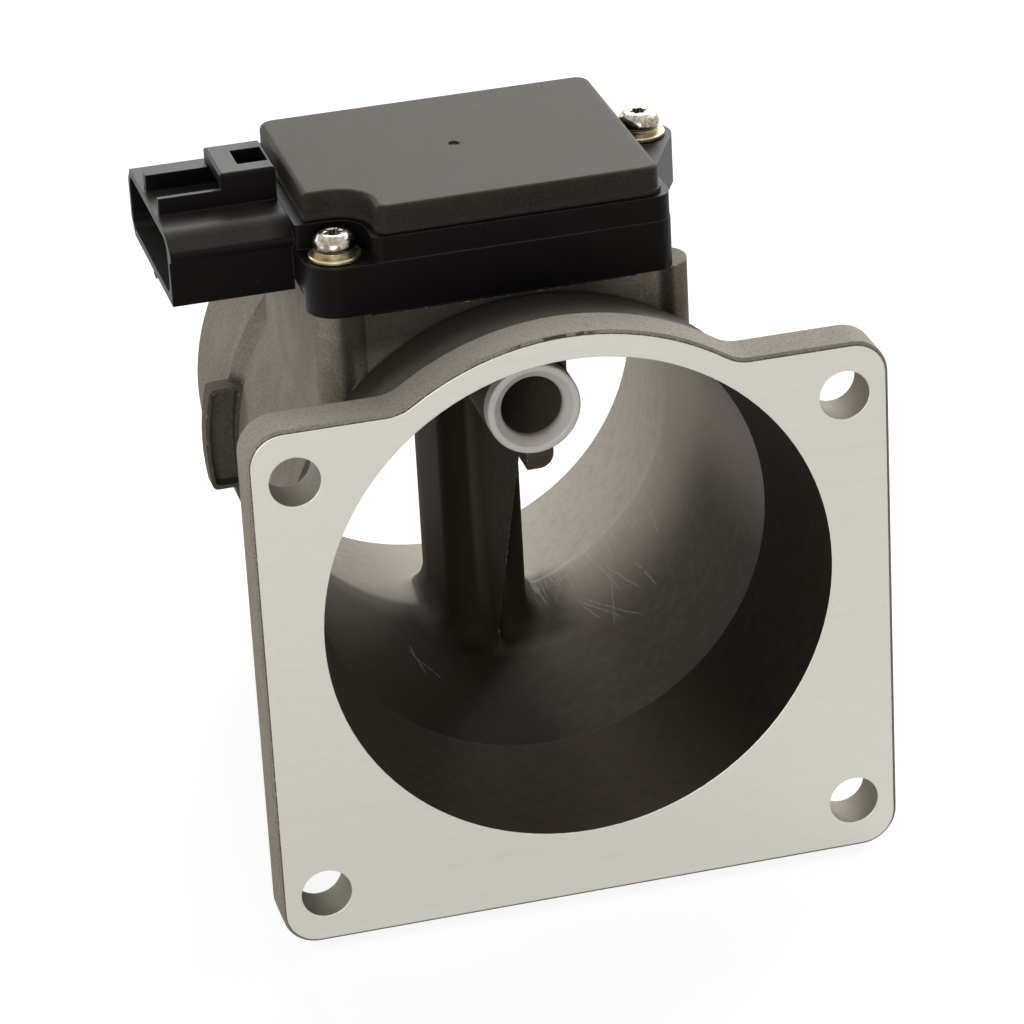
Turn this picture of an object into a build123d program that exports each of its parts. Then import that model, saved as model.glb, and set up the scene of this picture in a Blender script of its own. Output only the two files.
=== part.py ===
from build123d import *
import os
from math import hypot, sqrt

os.makedirs("parts", exist_ok=True)

# Mass airflow sensor. Millimetres, +Z up, air flows along +Y.
# The origin is the centre of the bore on the machined front face of the flange.

# Flange
FLANGE_THICKNESS = 9.0
FLANGE_WIDTH = 123.0
FLANGE_TOP = 44.0
FLANGE_BOTTOM = -63.5
FLANGE_CORNER_RADIUS = 7.0
FLANGE_EDGE_BREAK = 0.7
HUMP_RADIUS = 54.6
HUMP_BLEND_RADIUS = 8.0
BOLT_SPACING_X = 105.5
BOLT_SPACING_Z = 86.7
BOLT_HOLE_RADIUS = 4.9

# Bore: an entry cone up to a crisp edge, a throat taper to the die split, an outlet taper
BORE_MOUTH_RADIUS = 49.5
BORE_ENTRY_RADIUS = 45.4
BORE_SPLIT_RADIUS = 43.0
BORE_OUTLET_RADIUS = 45.0
BORE_ENTRY_END = 29.35
BORE_SPLIT_AT = 90.0
HOUSING_LENGTH = 124.0

# Outer surface of the round body
BELL_FRONT_RADIUS = 53.5
BELL_BACK_RADIUS = 50.6
BELL_END = 30.2
BELL_ROUNDING = 1.6
BODY_FRONT_RADIUS = 48.6
BODY_BACK_RADIUS = 46.4
BODY_END = 93.0
BODY_BLEND_RADIUS = 2.5
COLLAR_RADIUS = 48.6
COLLAR_START = 95.5
COLLAR_ROUNDING = 1.8

# Clamp lug at the side of the outlet collar, a dished tab whose edge is round the bore
LUG_FRONT = 91.0
LUG_RADIUS = 53.2
LUG_CENTRE_Z = 2.0
LUG_HALF_HEIGHT = 11.0
LUG_CORNER_RADIUS = 1.2
LUG_FRAME = 0.8
LUG_POCKET_DEPTH = 3.2

# Module case, seen from above
CASE_WIDTH = 70.8
CASE_LENGTH = 56.4
CASE_CENTRE_X = -6.3
CASE_FRONT = 28.2
CASE_CORNER_RADIUS = 3.5
EAR_RADIUS = 6.4
REAR_EAR_REACH = 5.9
REAR_EAR_SETBACK = 11.7
REAR_EAR_ROOT = 18.9
NOTCH_RADIUS = 5.6
NOTCH_SHIFT = 0.3
NOTCH_BLEND_RADIUS = 2.0
NOTCH_CORNER_RADIUS = 0.8

# Module case, heights
SEAT_RISE = 1.4
EAR_THICKNESS = 10.0
CASE_HEIGHT = 15.0
CASE_FLOOR = 1.6
CASE_WALL = 3.3
CASE_LEFT_WALL = 5.0
CAVITY_CORNER_RADIUS = 1.5
PARTING_STEP = 0.12
UNDERCUT_WIDTH = 3.2
UNDERCUT_HEIGHT = 3.7
UNDERCUT_SETBACK = 6.8

# Module cover and its seal
COVER_HEIGHT = 5.3
COVER_TOP_WALL = 1.8
COVER_LEDGE = 1.8
COVER_LEFT_LEDGE = 2.4
COVER_FOOT_STEP = 0.4
COVER_FOOT_HEIGHT = 0.8
COVER_CORNER_RADIUS = 3.0
COVER_ROUNDING = 1.1
GATE_MARK_RADIUS = 1.1
GATE_MARK_DEPTH = 0.35
SEAL_INSET = 0.25
SEAL_WIDTH = 0.9
SEAL_DEPTH = 0.8

# Platform of the casting under the case, its screw columns and the spare boss
PLATFORM_SHIFT_X = 1.4
PLATFORM_SHIFT_FRONT = 2.8
PLATFORM_SHIFT_BACK = 0.4
PLATFORM_CORNER_RADIUS = 3.0
PLATFORM_FILLET = 2.0
COLUMN_RADIUS = 5.4
SEAT_RELIEF_DEPTH = 1.5
SEAT_RELIEF_LENGTH = 5.0
SPARE_BOSS_INSET = 1.8
SPARE_BOSS_SETBACK = 6.3
SPARE_HOLE_RADIUS = 2.3
SCREW_HOLE_RADIUS = 2.05
SCREW_HOLE_DEPTH = 12.0

# Sampling duct in the bore
DUCT_HEIGHT = 27.1
DUCT_RADIUS = 9.3
DUCT_FRONT = 31.5
DUCT_PASSAGE_RADIUS = 6.1
WEB_FRONT = 35.0
WEB_ROOT = 45.4
PILLAR_HALF_WIDTH = 8.3
PILLAR_FRONT = 72.5
PILLAR_BACK = 106.0
PILLAR_CORNER_RADIUS = 7.0
PILLAR_ROOT = 44.9
PILLAR_FOOT_FILLET = 4.5
WEB_FILLET = 3.0
SHAFT_HALF_WIDTH = 4.5
SHAFT_FRONT = 80.0
SHAFT_BACK = 98.0
SHAFT_BOTTOM = -36.0
SHAFT_CORNER_RADIUS = 1.5
WINDOW_TOP = -14.0
FIN_HALF_THICKNESS = 2.4
FIN_KNEE_Y = 43.3
FIN_KNEE_Z = 11.0
FIN_FOOT_Y = 72.0
FIN_ROOT_DEPTH = 2.5
STEP_LUG_WIDTH = 5.4
STEP_LUG_START = 37.0
STEP_LUG_END = 48.0
STEP_LUG_BOTTOM = 10.6
STEP_LUG_ROUNDING = 3.0

# White ring on the mouth of the duct
RING_RADIUS = 9.25
RING_THICKNESS = 2.8
RING_SLEEVE_RADIUS = 8.1
RING_SLEEVE_BORE = 7.3
RING_SLEEVE_LENGTH = 6.0
RING_FUNNEL_RADIUS = 7.9
RING_FUNNEL_DEPTH = 1.6
RING_ROUNDING = 0.5
RING_THROAT_ROUNDING = 1.4
RING_CLEARANCE = 0.1

# Probe of the module, in its hole through the web
PROBE_Y = 53.65
PROBE_HOLE_RADIUS = 6.3
PROBE_CLEARANCE = 0.3
PROBE_STANDOFF = 6.3
O_RING_RISE = 11.6
O_RING_RADIUS = 0.7
O_RING_CLEARANCE = 0.02

# Sensing elements between their posts
POST_THICKNESS = 0.6
POST_WIDTH = 0.9
POST_SPACING_X = 5.1
POST_SPACING_Y = 3.4
POST_OVERHANG = 0.9
ELEMENT_RADIUS = 0.45

# Carrier plate and board in the case
CARRIER_THICKNESS = 1.5
CARRIER_MARGIN = 0.5
CARRIER_PROBE_HOLE_RADIUS = 4.6
BOARD_THICKNESS = 0.8
BOARD_MARGIN = 0.9

# What the board carries, placed from the sides of the case
CHIP_LENGTH = 12.8
CHIP_WIDTH = 7.5
CHIP_HEIGHT = 2.3
CHIP_FROM_RIGHT = 27.4
CHIP_FROM_BACK = 17.5
TRANSISTOR_LENGTH = 10.0
TRANSISTOR_WIDTH = 8.8
TRANSISTOR_HEIGHT = 4.4
TRANSISTOR_FROM_RIGHT = 17.4
TRANSISTOR_FROM_FRONT = 15.5
RESISTOR_LENGTH = 3.2
RESISTOR_WIDTH = 1.6
RESISTOR_HEIGHT = 0.6
RESISTOR_PITCH = 4.5
RESISTOR_COUNT = 4
RESISTOR_FROM_LEFT = 23.4
RESISTOR_FROM_BACK = 15.5
CAPACITOR_LENGTH = 3.2
CAPACITOR_WIDTH = 2.5
CAPACITOR_HEIGHT = 1.6
CAPACITOR_PITCH = 6.0
CAPACITOR_COUNT = 3
CAPACITOR_FROM_LEFT = 17.4

# Connector shroud on the left wall of the case, with its rails and latch bridge
SHROUD_LENGTH = 23.6
SHROUD_SETBACK = 14.8
SHROUD_WIDTH = 40.5
SHROUD_BOTTOM = 1.0
SHROUD_HEIGHT = 14.1
SHROUD_WALL = 1.5
SHROUD_BEVEL = 3.0
SHROUD_ROUNDING = 1.0
SHROUD_TOP_ROUNDING = 7.0
SOCKET_DEPTH = 22.8
SOCKET_CORNER_RADIUS = 3.0
KEY_RIDGE_REACH = 1.8
KEY_RIDGE_DROP = 5.1
KEY_RIDGE_BEVEL = 2.8
KEY_RIDGE_STEP = 0.4
NUB_SETBACK = 17.0
NUB_WIDTH = 2.2
NUB_HEIGHT = 0.9
NUB_LENGTH = 3.0
RAIL_HEIGHT = 3.4
RAIL_START = 0.7
BRIDGE_SETBACK = 11.2
BRIDGE_WIDTH = 15.2
BRIDGE_LENGTH = 10.8
BRIDGE_HEIGHT = 6.6
BRIDGE_STRAP = 2.2
FRONT_RAIL_WIDTH = 1.1
BACK_RAIL_WIDTH = 2.4
BRIDGE_WINDOW_LENGTH = 5.9
BRIDGE_WINDOW_WIDTH = 7.3
BRIDGE_ROUNDING = 0.6

# Terminals
TERMINAL_COUNT = 6
TERMINAL_PITCH = 5.0
TERMINAL_WIDTH = 2.3
TERMINAL_THICKNESS = 0.8
TERMINAL_HEIGHT = 8.5
TERMINAL_REACH = 20.3
TERMINAL_TIP_CHAMFER = 0.3
TERMINAL_LEG_OFFSET = 1.8

# Screws, washers and bushings
WASHER_RADIUS = 5.1
WASHER_THICKNESS = 0.9
WASHER_HOLE_RADIUS = 2.2
WASHER_CHAMFER = 0.2
LOCK_WASHER_RADIUS = 3.95
LOCK_WASHER_THICKNESS = 1.0
LOCK_WASHER_HOLE_RADIUS = 2.1
LOCK_WASHER_SPLIT = 0.5
HEAD_RADIUS = 3.8
HEAD_HEIGHT = 3.1
HEAD_ROUNDING = 2.1
SHANK_RADIUS = 1.95
SHANK_ENGAGEMENT = 9.0
RECESS_RADIUS = 1.5
RECESS_LOBE_RADIUS = 0.45
RECESS_LOBES = 6
RECESS_DEPTH = 1.7
BUSHING_RADIUS = 3.6
BUSHING_HOLE_RADIUS = 2.25

# Places that follow from the sizes above
seat_height = BELL_BACK_RADIUS + SEAT_RISE
case_left = CASE_CENTRE_X - CASE_WIDTH / 2
case_right = CASE_CENTRE_X + CASE_WIDTH / 2
case_back = CASE_FRONT + CASE_LENGTH
case_centre = (CASE_CENTRE_X, CASE_FRONT + CASE_LENGTH / 2)
ear_top = seat_height + EAR_THICKNESS
case_rim = seat_height + CASE_HEIGHT
cover_top = case_rim + COVER_HEIGHT
front_screw = (case_left + EAR_RADIUS, CASE_FRONT + EAR_RADIUS)
rear_screw = (case_right + REAR_EAR_REACH, case_back - REAR_EAR_SETBACK)
spare_boss = (case_right - SPARE_BOSS_INSET, CASE_FRONT + SPARE_BOSS_SETBACK)
notch_centre = (front_screw[0] + NOTCH_SHIFT, front_screw[1] - NOTCH_SHIFT)
bolt_centre_z = (FLANGE_TOP + FLANGE_BOTTOM) / 2
pillar_centre_y = (PILLAR_FRONT + PILLAR_BACK) / 2
fin_root_y = PILLAR_FRONT + FIN_ROOT_DEPTH
duct_axis = Axis((0, 0, DUCT_HEIGHT), (0, 1, 0))
platform_left = case_left + PLATFORM_SHIFT_X
platform_right = case_right + PLATFORM_SHIFT_X
platform_front = CASE_FRONT + PLATFORM_SHIFT_FRONT
platform_back = case_back + PLATFORM_SHIFT_BACK

cavity_left = case_left + CASE_LEFT_WALL
floor_top = seat_height + CASE_FLOOR
carrier_top = floor_top + CARRIER_THICKNESS
board_top = carrier_top + BOARD_THICKNESS
neck_radius = PROBE_HOLE_RADIUS - PROBE_CLEARANCE
probe_tip = DUCT_HEIGHT + PROBE_STANDOFF
o_ring_centre_radius = PROBE_HOLE_RADIUS - O_RING_CLEARANCE - O_RING_RADIUS
o_ring_z = probe_tip + O_RING_RISE
shroud_mouth = case_left - SHROUD_LENGTH
shroud_front = CASE_FRONT + SHROUD_SETBACK
shroud_back = shroud_front + SHROUD_WIDTH
shroud_bottom = seat_height + SHROUD_BOTTOM
shroud_top = shroud_bottom + SHROUD_HEIGHT
ridge_top = shroud_top - KEY_RIDGE_BEVEL
ridge_bottom = shroud_top - KEY_RIDGE_DROP
bridge_front = shroud_front + BRIDGE_SETBACK
bridge_back = bridge_front + BRIDGE_WIDTH
terminal_z = seat_height + TERMINAL_HEIGHT
terminal_centre_y = (shroud_front + shroud_back) / 2
terminal_leg_x = cavity_left + TERMINAL_LEG_OFFSET
washer_top = ear_top + WASHER_THICKNESS
head_seat = washer_top + LOCK_WASHER_THICKNESS


def corner_rectangle(left, right, front, back, radius):
    """Draw a rectangle with rounded corners between its four sides."""
    with Locations(((left + right) / 2, (front + back) / 2)):
        RectangleRounded(right - left, back - front, radius)


def corner(x, y):
    """Give the corner of the open sketch that lies nearest to a point."""
    return vertices().sort_by_distance((x, y, 0))[0]


def notched_outline(left_inset, inset, radius):
    """Draw the upper outline of the case, moved in, with the notch round the front screw."""
    reach = NOTCH_RADIUS + inset
    far = CASE_LENGTH / 2
    corner_rectangle(case_left + left_inset, case_right - inset, CASE_FRONT + inset, case_back - inset,
                     radius)
    with Locations(notch_centre):
        Rectangle(far, 2 * reach, align=(Align.MAX, Align.CENTER), mode=Mode.SUBTRACT)
        Rectangle(2 * reach, far, align=(Align.CENTER, Align.MAX), mode=Mode.SUBTRACT)
        Circle(reach, mode=Mode.SUBTRACT)
    fillet(corner(notch_centre[0] + reach, CASE_FRONT + inset), NOTCH_BLEND_RADIUS)
    fillet(corner(case_left + left_inset, notch_centre[1] + reach), NOTCH_CORNER_RADIUS)


def seal_outline():
    """Draw the closed track of the seal between case and cover."""
    notched_outline(COVER_LEFT_LEDGE + SEAL_INSET, COVER_LEDGE + SEAL_INSET, COVER_CORNER_RADIUS)
    offset(amount=-SEAL_WIDTH, mode=Mode.SUBTRACT)


def lug_outline(inset):
    """Draw the face of the clamp lug, moved in from its edges."""
    Circle(LUG_RADIUS - inset)
    with Locations((0, LUG_CENTRE_Z)):
        Rectangle(LUG_RADIUS, 2 * (LUG_HALF_HEIGHT - inset), align=(Align.MAX, Align.CENTER),
                  mode=Mode.INTERSECT)
    fillet(vertices().sort_by(Axis.X)[:2], LUG_CORNER_RADIUS)


# The casting: flange, round body, platform and columns, solid before the bore is cut
with BuildPart() as housing_casting:
    with BuildSketch(Plane.XZ):
        with Locations((0, bolt_centre_z)):
            Rectangle(FLANGE_WIDTH, FLANGE_TOP - FLANGE_BOTTOM)
        fillet(vertices(), FLANGE_CORNER_RADIUS)
        Circle(HUMP_RADIUS)
        hump_foot = sqrt(HUMP_RADIUS**2 - FLANGE_TOP**2)
        fillet([corner(-hump_foot, FLANGE_TOP), corner(hump_foot, FLANGE_TOP)], HUMP_BLEND_RADIUS)
    extrude(amount=-FLANGE_THICKNESS)
    chamfer(faces().sort_by(Axis.Y)[0].outer_wire().edges(), FLANGE_EDGE_BREAK)

    with BuildSketch():
        with BuildLine():
            Polyline((0, 0), (BELL_FRONT_RADIUS, 0), (BELL_FRONT_RADIUS, FLANGE_THICKNESS),
                     (BELL_BACK_RADIUS, BELL_END), (BODY_FRONT_RADIUS, BELL_END),
                     (BODY_BACK_RADIUS, BODY_END), (COLLAR_RADIUS, COLLAR_START),
                     (COLLAR_RADIUS, HOUSING_LENGTH), (0, HOUSING_LENGTH), close=True)
        make_face()
        fillet(corner(BELL_BACK_RADIUS, BELL_END), BELL_ROUNDING)
        fillet(corner(COLLAR_RADIUS, HOUSING_LENGTH), COLLAR_ROUNDING)
        fillet(corner(BODY_BACK_RADIUS, BODY_END), BODY_BLEND_RADIUS)
    revolve(axis=Axis.Y)

    with BuildSketch():
        corner_rectangle(platform_left, platform_right, platform_front, platform_back,
                         PLATFORM_CORNER_RADIUS)
        with Locations(front_screw, rear_screw, spare_boss):
            Circle(COLUMN_RADIUS)
    extrude(amount=seat_height)

    with BuildSketch(Plane.XZ.offset(-LUG_FRONT)):
        lug_outline(0)
    extrude(amount=LUG_FRONT - COLLAR_START)
    with BuildSketch(Plane.XZ.offset(-LUG_FRONT)):
        lug_outline(LUG_FRAME)
        Circle(BODY_BACK_RADIUS + LUG_FRAME, mode=Mode.SUBTRACT)
    extrude(amount=-LUG_POCKET_DEPTH, mode=Mode.SUBTRACT)

    # Relief of the platform along its front edge, between the columns
    with BuildSketch(Plane.XY.offset(seat_height)):
        corner_rectangle(front_screw[0] + COLUMN_RADIUS, spare_boss[0] - COLUMN_RADIUS, platform_front,
                         platform_front + SEAT_RELIEF_LENGTH, PARTING_STEP)
    extrude(amount=-SEAT_RELIEF_DEPTH, mode=Mode.SUBTRACT)

    # The bore, cut through everything
    with BuildSketch():
        with BuildLine():
            Polyline((0, 0), (BORE_MOUTH_RADIUS, 0), (BORE_ENTRY_RADIUS, BORE_ENTRY_END),
                     (BORE_SPLIT_RADIUS, BORE_SPLIT_AT), (BORE_OUTLET_RADIUS, HOUSING_LENGTH),
                     (0, HOUSING_LENGTH), close=True)
        make_face()
    revolve(axis=Axis.Y, mode=Mode.SUBTRACT)

    # The sampling duct: tube and web under the platform, pillar behind, fin and stepped lug below
    with BuildSketch(Plane.XZ.offset(-DUCT_FRONT)):
        with Locations((0, DUCT_HEIGHT)):
            Circle(DUCT_RADIUS)
    extrude(amount=DUCT_FRONT - PILLAR_FRONT - PILLAR_CORNER_RADIUS)
    with BuildSketch(Plane.XZ.offset(-WEB_FRONT)):
        with Locations((0, DUCT_HEIGHT)):
            Rectangle(2 * PILLAR_HALF_WIDTH, WEB_ROOT - DUCT_HEIGHT, align=(Align.CENTER, Align.MIN))
    extrude(amount=WEB_FRONT - pillar_centre_y)
    with BuildSketch(Plane.XY.offset(-PILLAR_ROOT)):
        corner_rectangle(-PILLAR_HALF_WIDTH, PILLAR_HALF_WIDTH, PILLAR_FRONT, PILLAR_BACK,
                         PILLAR_CORNER_RADIUS)
    extrude(amount=PILLAR_ROOT + WEB_ROOT)
    fin_sections = ((DUCT_HEIGHT, WEB_FRONT), (DUCT_HEIGHT - DUCT_RADIUS, WEB_FRONT),
                    (FIN_KNEE_Z, FIN_KNEE_Y), (-PILLAR_ROOT, FIN_FOOT_Y))
    for height, edge_y in fin_sections:
        with BuildSketch(Plane.XY.offset(height)):
            with BuildLine():
                Polyline((0, edge_y), (FIN_HALF_THICKNESS, fin_root_y), (-FIN_HALF_THICKNESS, fin_root_y),
                         close=True)
            make_face()
    loft(ruled=True)
    with BuildSketch(Plane.XZ.offset(-STEP_LUG_START)):
        with BuildLine():
            Polyline((0, DUCT_HEIGHT), (0, STEP_LUG_BOTTOM), (STEP_LUG_WIDTH, STEP_LUG_BOTTOM),
                     (STEP_LUG_WIDTH, DUCT_HEIGHT), close=True)
        make_face()
        fillet(corner(STEP_LUG_WIDTH, STEP_LUG_BOTTOM), STEP_LUG_ROUNDING)
    extrude(amount=STEP_LUG_START - STEP_LUG_END)

    # Casting fillets: pillar and fin on the bore floor, web on the bore roof, platform on the round body
    duct_edges = edges().filter_by(lambda e: abs(e.center().X) < 2 * PILLAR_HALF_WIDTH)
    duct_edges = duct_edges.filter_by_position(Axis.Y, WEB_FRONT, PILLAR_BACK)
    web_height = (DUCT_HEIGHT + DUCT_RADIUS + WEB_ROOT) / 2
    fillet(duct_edges.filter_by_position(Axis.Z, -PILLAR_ROOT, SHAFT_BOTTOM), PILLAR_FOOT_FILLET)
    fillet(duct_edges.filter_by_position(Axis.Z, web_height, WEB_ROOT), WEB_FILLET)
    wall_feet = edges().filter_by(GeomType.LINE, reverse=True)
    wall_feet = wall_feet.filter_by(lambda e: hypot((e @ 0.5).X, (e @ 0.5).Z) > BORE_ENTRY_RADIUS)
    wall_feet = wall_feet.filter_by_position(Axis.Z, FLANGE_THICKNESS, seat_height, (False, False))
    wall_feet = wall_feet.filter_by_position(Axis.Y, platform_front + COLUMN_RADIUS,
                                             platform_back + COLUMN_RADIUS)
    fillet(wall_feet, PLATFORM_FILLET)

    # The passage through the duct: along the tube, down the pillar and out of its back
    with BuildSketch(Plane.XZ.offset(-DUCT_FRONT)):
        with Locations((0, DUCT_HEIGHT)):
            Circle(DUCT_PASSAGE_RADIUS)
    extrude(amount=DUCT_FRONT - pillar_centre_y, mode=Mode.SUBTRACT)
    with BuildSketch(Plane.XZ.offset(-DUCT_FRONT)):
        with Locations((0, DUCT_HEIGHT)):
            Circle(RING_SLEEVE_RADIUS + RING_CLEARANCE)
            Circle(RING_SLEEVE_BORE - RING_CLEARANCE, mode=Mode.SUBTRACT)
    extrude(amount=-RING_SLEEVE_LENGTH - RING_CLEARANCE, mode=Mode.SUBTRACT)
    with BuildSketch(Plane.XY.offset(SHAFT_BOTTOM)):
        corner_rectangle(-SHAFT_HALF_WIDTH, SHAFT_HALF_WIDTH, SHAFT_FRONT, SHAFT_BACK, SHAFT_CORNER_RADIUS)
    extrude(amount=DUCT_HEIGHT - SHAFT_BOTTOM, mode=Mode.SUBTRACT)
    with BuildSketch(Plane.XZ.offset(-pillar_centre_y)):
        with Locations((0, (SHAFT_BOTTOM + WINDOW_TOP) / 2)):
            Rectangle(2 * SHAFT_HALF_WIDTH, WINDOW_TOP - SHAFT_BOTTOM)
    extrude(amount=pillar_centre_y - PILLAR_BACK, mode=Mode.SUBTRACT)

    # The holes from above, and the four bolt holes in the flange
    with Locations((0, PROBE_Y, seat_height)):
        Hole(PROBE_HOLE_RADIUS, seat_height - DUCT_HEIGHT)
    with Locations((*front_screw, seat_height), (*rear_screw, seat_height)):
        Hole(SCREW_HOLE_RADIUS, SCREW_HOLE_DEPTH)
    with Locations((*spare_boss, seat_height)):
        Hole(SPARE_HOLE_RADIUS, SCREW_HOLE_DEPTH)
    with BuildSketch(Plane.XZ):
        with Locations((0, bolt_centre_z)):
            with GridLocations(BOLT_SPACING_X, BOLT_SPACING_Z, 2, 2):
                Circle(BOLT_HOLE_RADIUS)
    extrude(amount=-FLANGE_THICKNESS, mode=Mode.SUBTRACT)
housing_casting.part.label = "housing_casting"
export_step(housing_casting.part, "parts/housing_casting.step")

# White ring: a funnel mouth on the tube, its sleeve in a groove of the tube's wall
with BuildPart() as bypass_inlet_ring:
    with BuildSketch(Plane((0, DUCT_FRONT - RING_THICKNESS, DUCT_HEIGHT))):
        with BuildLine():
            Polyline((DUCT_PASSAGE_RADIUS, RING_FUNNEL_DEPTH), (RING_FUNNEL_RADIUS, 0), (RING_RADIUS, 0),
                     (RING_RADIUS, RING_THICKNESS), (RING_SLEEVE_RADIUS, RING_THICKNESS),
                     (RING_SLEEVE_RADIUS, RING_THICKNESS + RING_SLEEVE_LENGTH),
                     (RING_SLEEVE_BORE, RING_THICKNESS + RING_SLEEVE_LENGTH),
                     (RING_SLEEVE_BORE, RING_THICKNESS), (DUCT_PASSAGE_RADIUS, RING_THICKNESS), close=True)
        make_face()
        fillet([corner(RING_RADIUS, 0), corner(RING_FUNNEL_RADIUS, 0)], RING_ROUNDING)
        fillet(corner(DUCT_PASSAGE_RADIUS, RING_FUNNEL_DEPTH), RING_THROAT_ROUNDING)
    revolve(axis=duct_axis)
bypass_inlet_ring.part.label = "bypass_inlet_ring"
export_step(bypass_inlet_ring.part, "parts/bypass_inlet_ring.step")

# Module case: lower half with its two ears, upper half with the notch, then the connector and the probe
with BuildPart() as module_case:
    with BuildSketch(Plane.XY.offset(seat_height)):
        with Locations(case_centre):
            Rectangle(CASE_WIDTH, CASE_LENGTH)
        fillet(corner(case_left, CASE_FRONT), EAR_RADIUS)
        fillet([corner(case_right, CASE_FRONT), corner(case_right, case_back), corner(case_left, case_back)],
               CASE_CORNER_RADIUS)
    extrude(amount=EAR_THICKNESS)
    with BuildSketch(Plane.XY.offset(seat_height)):
        with BuildLine():
            Line((case_right, CASE_FRONT + REAR_EAR_ROOT), (case_right, case_back - CASE_CORNER_RADIUS))
        with Locations(rear_screw):
            Circle(EAR_RADIUS)
        make_hull()
    extrude(amount=EAR_THICKNESS)
    with BuildSketch(Plane.XY.offset(ear_top)):
        notched_outline(PARTING_STEP, PARTING_STEP, CASE_CORNER_RADIUS)
    extrude(amount=case_rim - ear_top)

    # The shroud, its guide rails and the bridge that takes the latch
    with BuildSketch(Plane.YZ.offset(shroud_mouth)):
        with BuildLine():
            Polyline((shroud_front, shroud_bottom), (shroud_front, ridge_bottom),
                     (shroud_front - KEY_RIDGE_REACH, ridge_bottom + KEY_RIDGE_STEP),
                     (shroud_front - KEY_RIDGE_REACH, ridge_top), (shroud_front + SHROUD_BEVEL, shroud_top),
                     (shroud_back - SHROUD_BEVEL, shroud_top), (shroud_back, shroud_top - SHROUD_BEVEL),
                     (shroud_back, shroud_bottom + SHROUD_BEVEL), (shroud_back - SHROUD_BEVEL, shroud_bottom),
                     close=True)
        make_face()
        fillet(corner(shroud_front + SHROUD_BEVEL, shroud_top), SHROUD_TOP_ROUNDING)
        fillet([corner(shroud_front - KEY_RIDGE_REACH, ridge_top),
                corner(shroud_front - KEY_RIDGE_REACH, ridge_bottom + KEY_RIDGE_STEP),
                corner(shroud_back - SHROUD_BEVEL, shroud_top),
                corner(shroud_back, shroud_top - SHROUD_BEVEL)], SHROUD_ROUNDING)
    extrude(amount=SHROUD_LENGTH + PARTING_STEP)
    with BuildSketch(Plane.XY.offset(shroud_bottom - NUB_HEIGHT)):
        with Locations((shroud_mouth, shroud_front + NUB_SETBACK)):
            Rectangle(NUB_LENGTH, NUB_WIDTH, align=Align.MIN)
    extrude(amount=NUB_HEIGHT)
    with BuildSketch(Plane.XY.offset(shroud_top)):
        with Locations((shroud_mouth + RAIL_START, bridge_front)):
            Rectangle(SHROUD_LENGTH - RAIL_START, FRONT_RAIL_WIDTH, align=Align.MIN)
        with Locations((shroud_mouth + RAIL_START, bridge_back)):
            Rectangle(SHROUD_LENGTH - RAIL_START, BACK_RAIL_WIDTH, align=(Align.MIN, Align.MAX))
    extrude(amount=RAIL_HEIGHT)
    with BuildSketch(Plane.XY.offset(shroud_top)):
        with Locations((case_left, bridge_front)):
            Rectangle(BRIDGE_LENGTH, BRIDGE_WIDTH, align=(Align.MAX, Align.MIN))
    extrude(amount=BRIDGE_HEIGHT)
    bridge_top_face = faces().sort_by(Axis.Z)[-1]
    fillet(bridge_top_face.edges(), BRIDGE_ROUNDING)
    with BuildSketch(Plane.XY.offset(shroud_top)):
        with Locations((case_left, bridge_front + FRONT_RAIL_WIDTH)):
            Rectangle(BRIDGE_LENGTH, BRIDGE_WIDTH - FRONT_RAIL_WIDTH - BACK_RAIL_WIDTH,
                      align=(Align.MAX, Align.MIN))
    extrude(amount=BRIDGE_HEIGHT - BRIDGE_STRAP, mode=Mode.SUBTRACT)
    with BuildSketch(Plane.XY.offset(shroud_top)):
        with Locations((case_left - BRIDGE_ROUNDING, (bridge_front + bridge_back) / 2)):
            Rectangle(BRIDGE_WINDOW_LENGTH, BRIDGE_WINDOW_WIDTH, align=(Align.MAX, Align.CENTER))
    extrude(amount=BRIDGE_HEIGHT, mode=Mode.SUBTRACT)

    # The probe neck with its groove
    with BuildSketch(Plane.XY.offset(probe_tip)):
        with Locations((0, PROBE_Y)):
            Circle(neck_radius)
    extrude(amount=floor_top - probe_tip)
    with BuildSketch(Plane.XY.offset(o_ring_z - O_RING_RADIUS - O_RING_CLEARANCE)):
        with Locations((0, PROBE_Y)):
            Circle(PROBE_HOLE_RADIUS)
            Circle(o_ring_centre_radius - O_RING_RADIUS - O_RING_CLEARANCE, mode=Mode.SUBTRACT)
    extrude(amount=2 * (O_RING_RADIUS + O_RING_CLEARANCE), mode=Mode.SUBTRACT)

    # Hollows: the board space, the seal groove, the socket, and the relief under the left wall
    with BuildSketch(Plane.XY.offset(floor_top)):
        notched_outline(CASE_LEFT_WALL, CASE_WALL, CAVITY_CORNER_RADIUS)
    extrude(amount=case_rim - floor_top, mode=Mode.SUBTRACT)
    with BuildSketch(Plane.YZ.offset(shroud_mouth)):
        corner_rectangle(shroud_front + SHROUD_WALL, shroud_back - SHROUD_WALL, shroud_bottom + SHROUD_WALL,
                         shroud_top - SHROUD_WALL, SOCKET_CORNER_RADIUS)
    extrude(amount=SOCKET_DEPTH, mode=Mode.SUBTRACT)
    with BuildSketch(Plane.XY.offset(seat_height)):
        corner_rectangle(case_left, case_left + UNDERCUT_WIDTH, CASE_FRONT + UNDERCUT_SETBACK, case_back,
                         PARTING_STEP)
    extrude(amount=UNDERCUT_HEIGHT, mode=Mode.SUBTRACT)

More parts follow.
